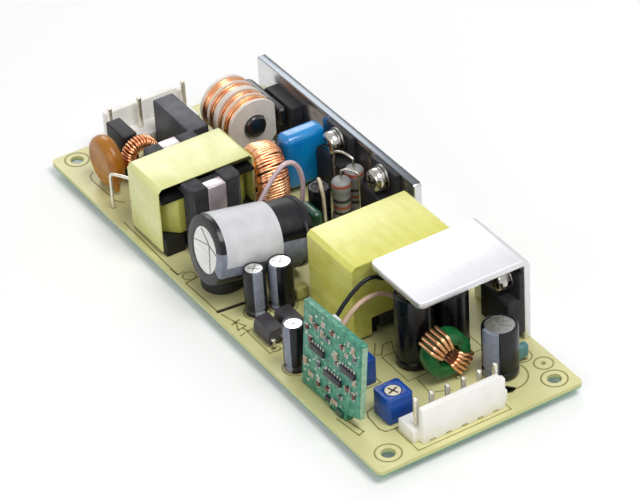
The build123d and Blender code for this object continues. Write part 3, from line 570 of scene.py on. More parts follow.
class Growth(Graph):
    def __init__(self, name, sizes):
        tree = bpy.data.node_groups.new(name, "GeometryNodeTree")
        super().__init__(tree)
        face = tree.interface
        face.new_socket("Geometry", in_out="INPUT", socket_type="NodeSocketGeometry")
        kinds = {int: "NodeSocketInt", float: "NodeSocketFloat"}
        for key, item in sizes.items():
            face.new_socket(key, in_out="INPUT", socket_type=kinds[type(item)])
        face.new_socket("Paint", in_out="INPUT", socket_type="NodeSocketMaterial")
        face.new_socket("Geometry", in_out="OUTPUT", socket_type="NodeSocketGeometry")
        self.source = tree.nodes.new("NodeGroupInput")
        self.sizes = sizes

    def size(self, name):
        return Wire(self, self.source.outputs[name])

    def vector(self, x=0.0, y=0.0, z=0.0):
        return self.add("ShaderNodeCombineXYZ", None, {0: x, 1: y, 2: z})

    def close(self, shape):
        real = self.add("GeometryNodeRealizeInstances", None, {0: shape})
        painted = self.add("GeometryNodeSetMaterial", None,
                           {"Geometry": real, "Material": self.size("Paint")})
        smooth = self.add("GeometryNodeSetShadeSmooth", None, {0: painted})
        sink = self.tree.nodes.new("NodeGroupOutput")
        self.tree.links.new(smooth.socket, sink.inputs[0])

    # wire along a line
    def wire(self, line, sides):
        section = self.add("GeometryNodeCurvePrimitiveCircle", None,
                           {"Resolution": sides, "Radius": self.size("Wire")})
        return self.add("GeometryNodeCurveToMesh", None,
                        {"Curve": line, "Profile Curve": section})

    # one turn of wire round the section of a ring core
    def turn(self, height, bends, sides):
        loop = self.add("GeometryNodeCurvePrimitiveQuadrilateral", None,
                        {"Width": self.size("Width"), "Height": height})
        loop = self.add("GeometryNodeFilletCurve", {"mode": "POLY"},
                        {"Curve": loop, "Count": bends, "Radius": self.size("Corner")})
        return self.add("GeometryNodeTransform", None,
                        {"Geometry": self.wire(loop, sides), "Rotation": (-pi / 2, -pi / 2, 0)})

    # a shape at each of some places, and the end of the tree
    def spread(self, shape, count, place, **stance):
        points = self.add("GeometryNodePoints", None,
                          {"Count": self.size(count), "Position": place})
        self.close(self.add("GeometryNodeInstanceOnPoints", None,
                            {"Points": points, "Instance": shape, **stance}))

    # a number between minus and plus a limit, another for each place
    def chance(self, limit):
        return self.add("FunctionNodeRandomValue", {"data_type": "FLOAT"},
                        {2: limit * -1.0, 3: limit, "Seed": self.size("Seed")}, 1)

    # runs the tree on some points and gives the plain mesh it grows
    def grow(self, name, paint, place, points=None, **changes):
        mesh = bpy.data.meshes.new(name)
        mesh.from_pydata(points or [(0, 0, 0)], [], [])
        piece = bpy.data.objects.new(name, mesh)
        scene.collection.objects.link(piece)
        modifier = piece.modifiers.new("growth", "NODES")
        modifier.node_group = self.tree
        values = dict(self.sizes)
        values.update(changes)
        for item in self.tree.interface.items_tree:
            if item.in_out == "INPUT" and item.name in values:
                modifier[item.identifier] = values[item.name]
            elif item.in_out == "INPUT" and item.name == "Paint":
                modifier[item.identifier] = paints[paint]
        grown = evaluated(piece)
        bpy.data.objects.remove(piece)
        bpy.data.meshes.remove(mesh)
        grown.transform(place)
        return grown


# turns of wire around a ring core whose axis is Z
def ringTree():
    tree = Growth("turns on a ring", {"Turns": 30, "Middle": 6.0, "Span": 5.0, "Width": 6.0,
                                      "Wire": 0.4, "Corner": 0.8, "Start": 15.0, "Sweep": 330.0,
                                      "Tilt": 4.0, "Lean": 0.0, "Seed": 1})
    share = tree.add("GeometryNodeInputIndex") / (tree.size("Turns") - 1.0)
    angle = (tree.size("Start") + tree.size("Sweep") * share) * (pi / 180)
    middle = tree.size("Middle")
    place = tree.vector(angle.op("COSINE") * middle, angle.op("SINE") * middle)
    lean = tree.chance(tree.size("Tilt") * (pi / 180)) + tree.size("Lean") * (pi / 180)
    tree.spread(tree.turn(tree.size("Span"), 4, 8), "Turns", place,
                Rotation=tree.vector(lean, 0.0, angle))
    return tree


# rings of wire side by side along Z, each a little out of true
def stackTree():
    tree = Growth("rings in a stack", {"Rings": 5, "Radius": 5.5, "Wire": 0.25, "Pitch": 0.45,
                                       "Wobble": 0.08, "Seed": 1})
    ring = tree.add("GeometryNodeCurvePrimitiveCircle", None,
                    {"Resolution": 56, "Radius": tree.size("Radius")})
    height = (tree.add("GeometryNodeInputIndex") + 0.5) * tree.size("Pitch")
    scatter = tree.chance(tree.size("Wobble"))
    tree.spread(tree.wire(ring, 8), "Rings", tree.vector(0.0, 0.0, height),
                Rotation=tree.vector(scatter * 0.4, scatter * 0.4, 0.0),
                Scale=tree.vector(1.0 + scatter * 0.5, 1.0 + scatter * 0.5, 1.0))
    return tree


# a few heavy turns, close together on the inside of a ring and spread on its outside
def fanTree():
    tree = Growth("fan of turns", {"Turns": 5, "Near": 2.2, "Far": 5.8, "Centre": 0.0,
                                   "NearPitch": 20.0, "FarPitch": 12.0, "Width": 5.0,
                                   "Wire": 0.35, "Corner": 0.8})
    turn = tree.turn(tree.size("Far") - tree.size("Near"), 5, 12)
    step = tree.add("GeometryNodeInputIndex") - (tree.size("Turns") - 1.0) * 0.5
    near = (tree.size("Centre") + step * tree.size("NearPitch")) * (pi / 180)
    far = (tree.size("Centre") + step * tree.size("FarPitch")) * (pi / 180)
    x0, y0 = near.op("COSINE") * tree.size("Near"), near.op("SINE") * tree.size("Near")
    x1, y1 = far.op("COSINE") * tree.size("Far"), far.op("SINE") * tree.size("Far")
    tree.spread(turn, "Turns", tree.vector((x0 + x1) * 0.5, (y0 + y1) * 0.5),
                Rotation=tree.vector(0.0, 0.0, (y1 - y0).op("ARCTAN2", x1 - x0)))
    return tree


# a solder fillet at every point, its foot on the underside of the board
def jointTree():
    tree = Growth("solder joints", {"Foot": 1.0, "Neck": 0.4, "Rise": 0.8})
    cone = tree.add("GeometryNodeMeshCone", {"fill_type": "NGON"},
                    {"Vertices": 16, "Side Segments": 2, "Radius Top": tree.size("Neck"),
                     "Radius Bottom": tree.size("Foot"), "Depth": tree.size("Rise")})
    grown = tree.add("GeometryNodeInstanceOnPoints", None,
                     {"Points": tree.size("Geometry"), "Instance": cone,
                      "Rotation": (pi, 0.0, 0.0)})
    tree.close(grown)
    return tree


ringTurns = ringTree()
ringStack = stackTree()
fanTurns = fanTree()
solderJoints = jointTree()

print("stage: wound parts")
# the small and the large ring choke
ringChoke = {"x": 19.9, "y": 12.9, "z": 7.2, "radius": 4.7, "hole": 1.6, "width": 4.2,
             "wire": 0.31, "turns": 33, "turn": (0, 90, 0), "lean": 0.0}
filterChoke = {"x": 45.7, "y": 31.0, "z": 8.2, "radius": 7.9, "hole": 3.4, "width": 8.0,
               "wire": 0.3, "turns": 62, "turn": (90, 0, -12), "lean": 7.0}


def woundRing(name, spec, node, quarter, paint="copper wire"):
    place = spot(spec["x"], spec["y"], spec["z"], spec["turn"])
    place = place @ Matrix.Rotation(radians(quarter), 4, "Z")
    layers = ((0.0, 1, 5.0), (0.62, 7, 9.0))
    bm = bmesh.new()
    for drop, seed, tilt in layers:
        wire = spec["wire"]
        outer = spec["radius"] - wire - drop * wire
        inner = spec["hole"] + wire + drop * wire
        mesh = ringTurns.grow(name, paint, place,
                              Turns=spec["turns"], Middle=(outer + inner) / 2,
                              Span=outer - inner, Width=spec["width"] - 2 * wire - drop * wire,
                              Wire=wire, Corner=spec["width"] * 0.3, Lean=spec["lean"],
                              Start=14.0 + drop * 4, Sweep=332.0 - drop * 8, Tilt=tilt, Seed=seed)
        absorb(bm, mesh)
    keep(name, poured(bm, name), paint, smooth=60, replaces=[node])


woundRing("small_ring_turns", ringChoke, "ring_choke_winding", 0)
# the large ring wears a lighter copy of the copper wire, painted light
woundRing("large_ring_turns", filterChoke, "filter_choke_winding", -90, "bright copper")

# the output choke's ten heavy turns and its coated core
outputChoke = {"x": 122.3, "y": 28.2, "z": 6.6, "radius": 5.4, "hole": 2.7, "width": 4.2,
               "wire": 0.42, "inner": 23.0, "outer": 12.0, "groups": (50.0, 212.0)}


def outputTurns():
    wire = outputChoke["wire"]
    place = spot(outputChoke["x"], outputChoke["y"], outputChoke["z"], (0, 90, 0))
    bm = bmesh.new()
    # the turns wear a lighter copy of the copper wire, painted light
    for centre in outputChoke["groups"]:
        mesh = fanTurns.grow("group", "bright copper", place, Turns=5,
                             Near=outputChoke["hole"] - 0.12 - wire,
                             Far=outputChoke["radius"] + 0.08 + wire, Centre=centre,
                             NearPitch=outputChoke["inner"], FarPitch=outputChoke["outer"],
                             Width=outputChoke["width"] + 2 * wire, Wire=wire, Corner=0.8)
        absorb(bm, mesh)
    keep("output_choke_turns", poured(bm, "output_choke_turns"), "bright copper", smooth=60,
         replaces=["output_choke_winding"])
    bm = bmesh.new()
    r, hole, half = outputChoke["radius"], outputChoke["hole"], outputChoke["width"] / 2
    rim = 0.5
    lower = [(hole, -half + rim), (hole + rim * 0.4, -half + rim * 0.3), (hole + rim, -half),
             (r - rim, -half), (r - rim * 0.4, -half + rim * 0.3), (r, -half + rim)]
    turned(bm, mirrored(lower) + lower[:1], place, 56)
    weld(bm, 1e-7)
    keep("output_choke_ring", bm, "green core", smooth=40, replaces=["output_choke_core"])


outputTurns()

# the common-mode choke: a smooth bobbin and four wound sections
commonMode = {"front": 31.6, "y": 37.1, "z": 11.5, "flange": 6.9, "flat": 5.5, "tube": 4.0,
              "bore": 2.95, "rim": 0.8, "section": 2.3, "thin": 0.5, "middle": 1.5, "wire": 0.28,
              "sunk": 0.62, "layer": 0.42, "foot": 5.2}


def commonModeChoke():
    spec = commonMode
    pieces = [spec["rim"], spec["section"], spec["thin"], spec["section"], spec["middle"],
              spec["section"], spec["thin"], spec["section"], spec["rim"]]
    rear = spec["front"] - sum(pieces)
    place = spot(rear, spec["y"], spec["z"], (0, 90, 0))
    profile = [(spec["bore"], 0)]
    at = 0.0
    bm = bmesh.new()
    for index, piece in enumerate(pieces):
        if index % 2 == 0:
            radius = spec["flange"]
            profile += [(spec["tube"], at), (radius - 0.12, at), (radius, at + 0.12),
                        (radius, at + piece - 0.12), (radius - 0.12, at + piece),
                        (spec["tube"], at + piece)]
        else:
            rings = int(piece / (2 * spec["wire"]) + 0.3)
            for layer in (0, 1):
                mesh = ringStack.grow("layer", "copper wire", place @ Matrix.Translation(
                    (0, 0, at)), Rings=rings, Wire=spec["wire"], Pitch=piece / rings,
                    Radius=spec["flange"] - spec["sunk"] - layer * spec["layer"],
                    Seed=index * 3 + layer)
                absorb(bm, mesh)
        at += piece
    keep("common_mode_turns", poured(bm, "common_mode_turns"), "copper wire", smooth=60,
         replaces=["common_mode_windings"])
    profile += [(spec["bore"], at), (spec["bore"], 0)]
    bm = bmesh.new()
    turned(bm, profile, place, 72)
    weld(bm, 1e-7)
    cutAway(bm, onBoard(rear, spec["y"] + spec["flat"], spec["z"]), (0, 1, 0))
    foot = spec["foot"]
    for x in (rear + 1.0, spec["front"] - 1.0):
        slab(bm, (2.0, 10.0, foot), spot(x, spec["y"], foot / 2))
    keep("common_mode_spool", bm, "white nylon", smooth=35, replaces=["common_mode_bobbin"])
    # the core's round leg fills the bore
    bm = bmesh.new()
    r = spec["bore"] - 0.1
    turned(bm, [(0, 1), (r - 0.5, 1), (r, 1.5), (r, at + 0.2), (r * 0.94, at + 0.6),
                (r * 0.8, at + 0.9), (0, at + 1.0)], place, 40)
    keep("common_mode_leg", bm, "black ferrite", smooth=40)


commonModeChoke()

print("stage: dipped and boxed parts")
reach = -board["thickness"] - 2.0


# round leads that follow the modelled ones, with the bent ones made again as smooth wire
def leadSet(name, node, loops, paint="tinned metal"):
    bm = bmesh.new()
    for points in islands(node):
        low, high = corners(points)
        wide = (high - low) / mm
        if max(wide.x, wide.y) <= 1.6:
            boxAround(bm, points, min(wide.x, wide.y) * 0.22, 2)
    for points, radius in loops:
        absorb(bm, wireMesh(points, radius, 10))
    keep(name, bm, paint, smooth=50, replaces=[node])


diode = {"x": 33.2, "y": 4.4, "radius": 1.35, "low": 1.4, "high": 7.8, "far": (25.6, 1.8)}


def surgeDiode():
    x, y, top = diode["x"], diode["y"], diode["high"]
    bm = bmesh.new()
    r = diode["radius"]
    turned(bm, [(0, diode["low"]), (r * 0.6, diode["low"]), (r * 0.92, diode["low"] + 0.35),
                (r, diode["low"] + 0.9), (r * 0.96, (diode["low"] + top) / 2),
                (r, top - 0.9), (r * 0.92, top - 0.35), (r * 0.6, top), (0, top)], spot(x, y), 32)
    keep("diode_body", bm, "pale glass", smooth=50, replaces=["surge_diode"])
    farX, farY = diode["far"]
    loop = [(x, y, top - 0.2), (x, y, top + 1.5), (x - 0.6, y - 0.2, top + 2.4),
            (x - 2.6, y - 0.8, top + 2.5), (farX + 1.6, farY + 0.5, top + 2.0),
            (farX + 0.1, farY, top + 1.6), (farX, farY, top - 0.6), (farX, farY, 3.0),
            (farX, farY, reach)]
    leadSet("mains_side_leads", "mains_leads", [(loop, 0.4)], "bright pins")


surgeDiode()

varistor = {"x": 17.6, "y": 5.3, "z": 7.2, "radius": 6.3, "half": 2.0, "pitch": 7.5}


def varistorDisc():
    r, half = varistor["radius"], varistor["half"]
    bm = bmesh.new()
    profile = mirrored([(0, -half * 0.93), (r * 0.5, -half * 0.98), (r * 0.74, -half),
                        (r * 0.88, -half * 0.84), (r * 0.97, -half * 0.46)], [(r, 0)])
    turned(bm, profile, spot(varistor["x"], varistor["y"], varistor["z"], (90, 0, 0)), 64)
    for side in (-1, 1):
        x = varistor["x"] + side * varistor["pitch"] / 2
        turned(bm, [(0, 0.7), (0.5, 0.7), (0.62, 1.2), (0.8, 2.2), (1.25, 3.6), (0, 4.2)],
               spot(x, varistor["y"]), 20)
    keep("varistor_disc", bm, "ochre dip", smooth=60, replaces=["varistor"])


varistorDisc()

dipped = {
    "film_capacitor": {"size": (5.3, 11.2, 14.3), "place": (43.85, 42.0, 8.35), "round": 1.9,
                       "paint": "blue dip", "slot": "blue_coating"},
    "green_capacitor": {"size": (6.8, 2.8, 9.0), "place": (64.2, 31.6, 5.1), "round": 1.3,
                        "paint": "green dip", "slot": "green_coating"},
    "disc_capacitor": {"size": (2.0, 3.4, 3.6), "place": (127.0, 44.3, 2.6), "round": 0.9,
                       "paint": "teal dip", "slot": "teal_coating"},
    "ceramic_capacitor": {"size": (2.4, 3.3, 3.0), "place": (80.4, 18.3, 1.9), "round": 0.6,
                          "paint": "yellow dip", "slot": "yellow_coating"},
}
ripple = 0.012
for node, spec in dipped.items():
    bm = bmesh.new()
    softBox(bm, spec["size"], spot(*spec["place"]), spec["round"], 6)
    wave = random.Random(7)
    for vert in bm.verts:
        vert.co += Vector([wave.uniform(-1, 1) * ripple * mm for i in range(3)])
    keep(node + "_body", bm, spec["paint"], smooth=60, replaces=[node])

eased = [
    ("fuse_box", "fuse", 0.3, "black moulding", "black_plastic"),
    ("x_capacitor_box", "x_capacitor", 0.45, "slate moulding", "slate_plastic"),
    ("bridge_block", "bridge_rectifier", 0.2, "black moulding", "black_plastic"),
    ("transistor_pair", "power_transistors", 0.2, "black moulding", "black_plastic"),
    ("rectifier_package", "output_rectifier", 0.2, "black moulding", "black_plastic"),
    ("opto_pair", "optocouplers", 0.12, "opto moulding", "black_plastic"),
    ("trimmer_boxes", "trimmer_bodies", 0.2, "blue moulding", "blue_plastic"),
    ("boost_core_halves", "boost_core", 0.3, "grey ferrite", "ferrite"),
    ("transformer_core_halves", "transformer_core", 0.3, "grey ferrite", "ferrite"),
    ("spring_clips", "core_clips", 0.12, "spring steel", "spring_steel"),
    ("rear_sink_plate", "rear_heatsink", 0.2, "polished aluminium", "bare_aluminium"),
    ("output_sink_plate", "output_heatsink", 0.25, "bare aluminium", "bare_aluminium"),
    ("mains_header_body", "mains_header_housing", 0.22, "header nylon", "header_plastic"),
    ("output_header_body", "output_header_housing", 0.22, "header nylon", "header_plastic"),
    ("common_mode_u_core", "common_mode_core", 0.35, "black ferrite", "black_ferrite"),
    ("boost_wrap", "boost_tape", 0.3, "pale tape", "yellow_tape"),
    ("boost_coil_wrap", "boost_coil", 1.8, "olive tape", "yellow_tape"),
    ("transformer_wrap", "transformer_tape", 0.3, "yellow tape", "yellow_tape"),
]
for name, node, width, paint, slot in eased:
    softened(name, node, width, paint, 3 if "wrap" in name else 2)

print("stage: headers and screws")


# square pins with domed tips
def headerPins(name, node):
    bm = bmesh.new()
    for points in islands(node):
        boxAround(bm, points, 0.28, 3)
    keep(name, bm, "bright pins", smooth=50, replaces=[node])


headerPins("mains_pins", "mains_header_pins")
headerPins("output_pins", "output_header_pins")

bolts = {"height": 14.6, "places": ((51.8, 48.5, 1.3, 1.9), (70.2, 48.5, 1.3, 1.9),
                                     (116.6, 49.2, 1.3, 1.5)),
         "flat": 3.2, "spring": 2.85, "head": 2.8, "tall": 2.1}


def machineScrews():
    heads = bmesh.new()
    rings = bmesh.new()
    crosses = bmesh.new()
    for x, y, under, depth in bolts["places"]:
        place = spot(x, y, bolts["height"], (90, 0, 0))
        at = under
        for radius, thick, start, sweep in ((bolts["flat"], 0.6, 0, 360),
                                            (bolts["spring"], 0.7, 12, 344)):
            e = 0.16
            turned(rings, [(1.6, at), (radius - e, at), (radius, at + e),
                           (radius, at + thick - e), (radius - e, at + thick), (1.6, at + thick),
                           (1.6, at)], place, 40, start, sweep)
            at += thick
        r, tall = bolts["head"], bolts["tall"]
        turned(heads, [(0, -depth), (1.4, -depth), (1.4, at), (r - 0.15, at), (r, at + 0.15),
                       (r, at + tall * 0.4), (r * 0.95, at + tall * 0.62),
                       (r * 0.84, at + tall * 0.82), (r * 0.66, at + tall * 0.94),
                       (r * 0.4, at + tall), (0, at + tall)], place, 48)
        for turn in (20, 110):
            slab(crosses, (3.2, 0.55, 1.7), place @ Matrix.Rotation(radians(turn), 4, "Z")
                 @ Matrix.Translation((0, 0, at + tall - 0.35)))
    keep("screw_washers", rings, "washer steel", smooth=35,
         replaces=["heatsink_washers"])
    piece = keep("pan_head_screws", heads, "plated screw", smooth=35)
    tool = bpy.data.objects.new("cross tool", done(crosses, "cross tool"))
    scene.collection.objects.link(tool)
    cutter = piece.modifiers.new("cross", "BOOLEAN")
    cutter.operation = "DIFFERENCE"
    cutter.object = tool
    cutter.solver = "EXACT"
    cutter.use_self = True
    cut = evaluated(piece)
    piece.modifiers.clear()
    piece.data = cut
    cut.set_sharp_from_angle(angle=radians(35))
    bpy.data.objects.remove(tool)
    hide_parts("heatsink_screws")


machineScrews()

print("stage: capacitors")
# x, y, radius, height, stripe angle, stripe half width
uprights = [
    (60.9, 35.9, 2.5, 11.5, 150, 30), (79.2, 7.6, 2.5, 12.0, -9, 28),
    (80.3, 13.6, 2.85, 12.0, -72, 24), (100.9, 4.1, 2.5, 12.0, -72, 22),
    (113.8, 26.0, 4.1, 18.4, 200, 28), (113.8, 35.3, 4.1, 18.4, 200, 28),
    (127.6, 38.6, 4.0, 12.6, -70, 32),
]


# the can shows only its vent face; the sleeve laps its rim
def electrolytic(cans, sleeves, place, radius, height, lip, bead, stripe, half, segments=48):
    e = min(0.45, radius * 0.14)
    inner = radius - 0.16
    wall = [(inner - 0.4, 0.3), (radius - 0.05, 0.3), (radius, 0.4), (radius, bead - 0.55),
            (radius - 0.3, bead - 0.2), (radius - 0.3, bead + 0.2), (radius, bead + 0.55),
            (radius, height - e), (radius - e * 0.3, height - e * 0.3), (radius - e, height),
            (radius - lip, height), (radius - lip - 0.02, height - 0.14)]
    if half:
        turned(sleeves, wall, place, int(segments * (360 - 2 * half) / 360), stripe + half,
               360 - 2 * half, 0)
        turned(sleeves, wall, place, int(segments * 2 * half / 360) + 2, stripe - half, 2 * half,
               1)
    else:
        turned(sleeves, wall, place, segments)
    face = height - 0.12
    turned(cans, [(0, 0.35), (inner - 0.4, 0.35), (inner - 0.4, bead), (inner - 0.4, height - 0.5),
                  (radius - lip + 0.05, face), (radius - lip - 0.12, face - 0.02),
                  (0, face - 0.03)], place, segments)


def uprightCapacitors():
    cans, sleeves = bmesh.new(), bmesh.new()
    for x, y, radius, height, stripe, half in uprights:
        lip = 0.55 if radius < 3 else 0.75
        bead = 1.7 if radius < 3 else 2.2
        electrolytic(cans, sleeves, spot(x, y), radius, height, lip, bead, stripe, half)
        if height < 12:
            cans.faces.ensure_lookup_table()
            for face in cans.faces:
                face.material_index = 2
        # the scored vent
        for turn in (45, 135):
            length = (radius - lip) * 1.5
            slab(cans, (length, 0.14, 0.1), spot(x, y, height - 0.14, (0, 0, turn)), 1)
    keep("small_cans", cans, ("can aluminium", "scored metal", "bung rubber"),
         smooth=35, replaces=["capacitor_cans"])
    keep("small_sleeves", sleeves, ("black sleeve", "print grey"),
         smooth=35, replaces=["capacitor_sleeves"])


uprightCapacitors()

bulk = {"x": 69.0, "y": 25.0, "z": 8.75, "yaw": 2.5, "pitch": 9.5, "radius": 8.0,
        "length": 23.4, "lip": 2.65, "bead": 2.0, "label": (-4, 152), "span": (8.1, 22.1),
        "stripe": (-2, 23), "wire": 0.4, "bend": 2.5, "leads": 7.5,
        "score": (1.5, 2.0), "cuts": ((-2.5, 4.3), (-5.1, 0.2), (4.9, 1.2), (3.0, -4.1)),
        "foot": (65.4, 7.2), "footRadius": 4.9, "footSlope": (6.0, 3.95)}


def bulkCapacitor():
    lay = spot(bulk["x"], bulk["y"], bulk["z"])
    lay = lay @ Matrix.Rotation(radians(-bulk["yaw"]), 4, "Z")
    lay = lay @ Matrix.Rotation(radians(-bulk["pitch"]), 4, "X")
    lay = lay @ Matrix.Rotation(radians(90), 4, "X")
    r, length = bulk["radius"], bulk["length"]
    cans, sleeves = bmesh.new(), bmesh.new()
    electrolytic(cans, sleeves, lay, r, length, bulk["lip"], bulk["bead"], *bulk["stripe"], 96)
    # the scored vent: four cuts from one point
    x, y = bulk["score"]
    for endX, endY in bulk["cuts"]:
        turn = Matrix.Rotation(atan2(endY - y, endX - x), 4, "Z")
        slab(cans, (sqrt((endX - x) ** 2 + (endY - y) ** 2), 0.16, 0.12),
             lay @ Matrix.Translation(((x + endX) / 2, (y + endY) / 2, length - 0.13)) @ turn, 1)
    keep("bulk_can", cans, ("can aluminium", "scored metal"), smooth=35,
         replaces=["bulk_capacitor_can"])
    keep("bulk_sleeve", sleeves, ("black sleeve", "print grey"), smooth=35,
         replaces=["bulk_capacitor_sleeve"])
    bm = bmesh.new()
    (start, end), (low, high) = bulk["label"], bulk["span"]
    shell = r + 0.07
    turned(bm, [(r - 0.02, low), (shell, low), (shell, high), (r - 0.02, high)], lay, 56, start,
           end - start)
    keep("bulk_label", bm, "print white", smooth=35)
    bm = bmesh.new()
    turned(bm, [(0, 0.35), (r - 1.25, 0.35), (r - 1.25, 1.1), (0, 1.1)], lay, 64)
    for side in (-1, 1):
        turned(bm, [(0, 0.2), (0.9, 0.2), (1.1, 0.36), (0, 0.5)],
               lay @ Matrix.Translation((side * 3.75, 0, 0)), 24)
    keep("bulk_bung", bm, "bung rubber", smooth=35,
         replaces=["bulk_capacitor_bung"])
    # the soft foot, its top pressed to the slope of the sleeve
    bm = bmesh.new()
    r, (x, y) = bulk["footRadius"], bulk["foot"]
    turned(bm, [(0, 0), (r - 0.3, 0), (r, 0.3), (r, 5), (0, 5)], spot(x, y), 56)
    slope = radians(bulk["pitch"])
    cutAway(bm, onBoard(x, *bulk["footSlope"]), (0, sin(slope), cos(slope)))
    keep("bulk_foot", bm, "silicone pad", smooth=35,
         replaces=["bulk_capacitor_pad"])
    loops = []
    yaw, pitch = radians(bulk["yaw"]), radians(bulk["pitch"])
    for side in (-1, 1):
        across = side * bulk["leads"] / 2
        x = bulk["x"] - 0.3 * cos(pitch) * sin(yaw) + across * cos(yaw)
        y = bulk["y"] - 0.3 * cos(pitch) * cos(yaw) - across * sin(yaw)
        z = bulk["z"] + 0.3 * sin(pitch)
        down = y + bulk["bend"]
        loops.append(([(x, y, z), (x, down - 0.7, z - 0.25), (x, down, z - 0.5),
                       (x, down, z - 1.6), (x, down, 3.0), (x, down, reach)], bulk["wire"]))
    leadSet("capacitor_wires", "capacitor_leads", loops)


bulkCapacitor()

resistors = {"radius": 2.3, "low": 1.8, "height": 12.0, "cap": 3.0,
             "places": ((64.1, 39.9, 35, 4.4), (61.9, 44.7, 200, 5.5)), "wire": 0.3}


def powerResistors():
    bm = bmesh.new()
    loops = []
    for x, y, turn, width in resistors["places"]:
        place = spot(x, y, resistors["low"])
        r, h, c = resistors["radius"], resistors["height"], resistors["cap"]
        waist = r - 0.28
        rows = [
            ([(0, 0), (r * 0.5, 0.02), (r * 0.8, 0.25), (r * 0.97, 0.8), (r, 1.3)], 0),
            ([(r, 1.3), (r, c - 0.9), (r * 0.97, c - 0.4), (waist, c + 0.2)], 0),
            ([(waist, c + 0.2), (waist, c + 1.0)], 1), ([(waist, c + 1.0), (waist, c + 1.7)], 0),
            ([(waist, c + 1.7), (waist, c + 2.5)], 2), ([(waist, c + 2.5), (waist, c + 3.4)], 0),
            ([(waist, c + 3.4), (waist, c + 4.2)], 1),
            ([(waist, c + 4.2), (waist, h - c - 0.2)], 0),
            ([(waist, h - c - 0.2), (r * 0.97, h - c + 0.4), (r, h - c + 0.9), (r, h - 1.5)], 0),
            ([(r, h - 1.5), (r, h - 1.1), (r * 0.97, h - 0.8)], 2),
            ([(r * 0.97, h - 0.8), (r * 0.8, h - 0.25), (r * 0.5, h - 0.02), (0, h)], 0),
        ]
        for profile, paint in rows:
            turned(bm, profile, place, 40, paint=paint)
        top = resistors["low"] + h
        along = cos(radians(turn)), sin(radians(turn))
        shape = [(0, top - 0.2), (0, top + 1.3), (0.02, top + 2.3), (0.5, top + 2.9),
                 (0.98, top + 2.3), (1, top + 1.0), (1, top - 4), (1, 3.0), (1, reach)]
        loops.append(([(x + s * width * along[0], y + s * width * along[1], z)
                       for s, z in shape], resistors["wire"]))
    weld(bm, 1e-7)
    keep("resistor_bodies", bm, ("resistor grey", "band dark", "band orange"), smooth=40,
         replaces=["power_resistors"])
    leadSet("power_side_leads", "power_leads", loops)


powerResistors()
softened("output_side_leads", "output_leads", 0.1, "bright pins")

print("stage: flying leads")
flying = {
    "black_lead": {"paint": "black insulation", "slot": "black_insulation", "radius": 0.48,
                   "points": [(101.5, 26.4, 15.0), (103.4, 26.4, 15.0), (103.2, 22.6, 17.8),
                              (103.2, 18.0, 15.8), (103.8, 12.7, 11.3), (104.6, 8.6, 5.0),
                              (104.6, 8.6, reach)]},
    "beige_lead": {"paint": "beige insulation", "slot": "beige_insulation", "radius": 0.56,
                   "points": [(101.5, 30.0, 7.6), (103.2, 30.0, 7.6), (103.2, 25.6, 12.3),
                              (103.2, 20.0, 12.5), (103.6, 14.9, 9.0), (104.2, 11.4, 4.6),
                              (104.2, 11.4, reach)]},
    "sleeved_link": {"paint": "pink sleeving", "slot": "pink_sleeve", "radius": 0.6,
                     "points": [(55.4, 22.0, reach), (55.4, 22.0, 6.6), (55.4, 25.2, 11.6),
                                (55.4, 28.4, 15.4), (55.4, 30.6, 16.9), (55.4, 33.0, 16.2),
                                (55.4, 34.6, 13.4), (55.4, 35.2, 9.2), (55.4, 34.35, 4.6),
                                (55.4, 34.35, reach)]},
    # a stiff link over the small capacitor, seated on the board
    "capacitor_link": {"paint": "cream sleeving", "slot": "beige_insulation", "radius": 0.42,
                       "points": [(64.1, 35.3, -0.2), (64.1, 35.2, 6.0), (64.0, 35.1, 10.6),
                                  (63.5, 35.0, 12.9), (62.0, 35.6, 13.5), (59.7, 36.6, 12.9),
                                  (57.9, 37.5, 10.0), (57.8, 37.7, -0.2)]},
}


# the length of the line through some board places
def lineLength(points):
    mesh = wireMesh(points, 0.0, 16)
    total = sum((mesh.vertices[e.vertices[0]].co - mesh.vertices[e.vertices[1]].co).length
                for e in mesh.edges)
    bpy.data.meshes.remove(mesh)
    return total


for node, spec in flying.items():
    piece = wireCurve(node + "_wire", spec["points"], spec["radius"], 16)
    piece.data.materials.append(paints[spec["paint"]])
    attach(piece, "supply")
    if node != "capacitor_link":
        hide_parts(node)
    if node in ("black_lead", "beige_lead"):
        length = lineLength(spec["points"])
        print(node, "length", round(length / mm, 1))
        tuple(onBoard(*spec["points"][0]))
        2 * spec["radius"] * mm

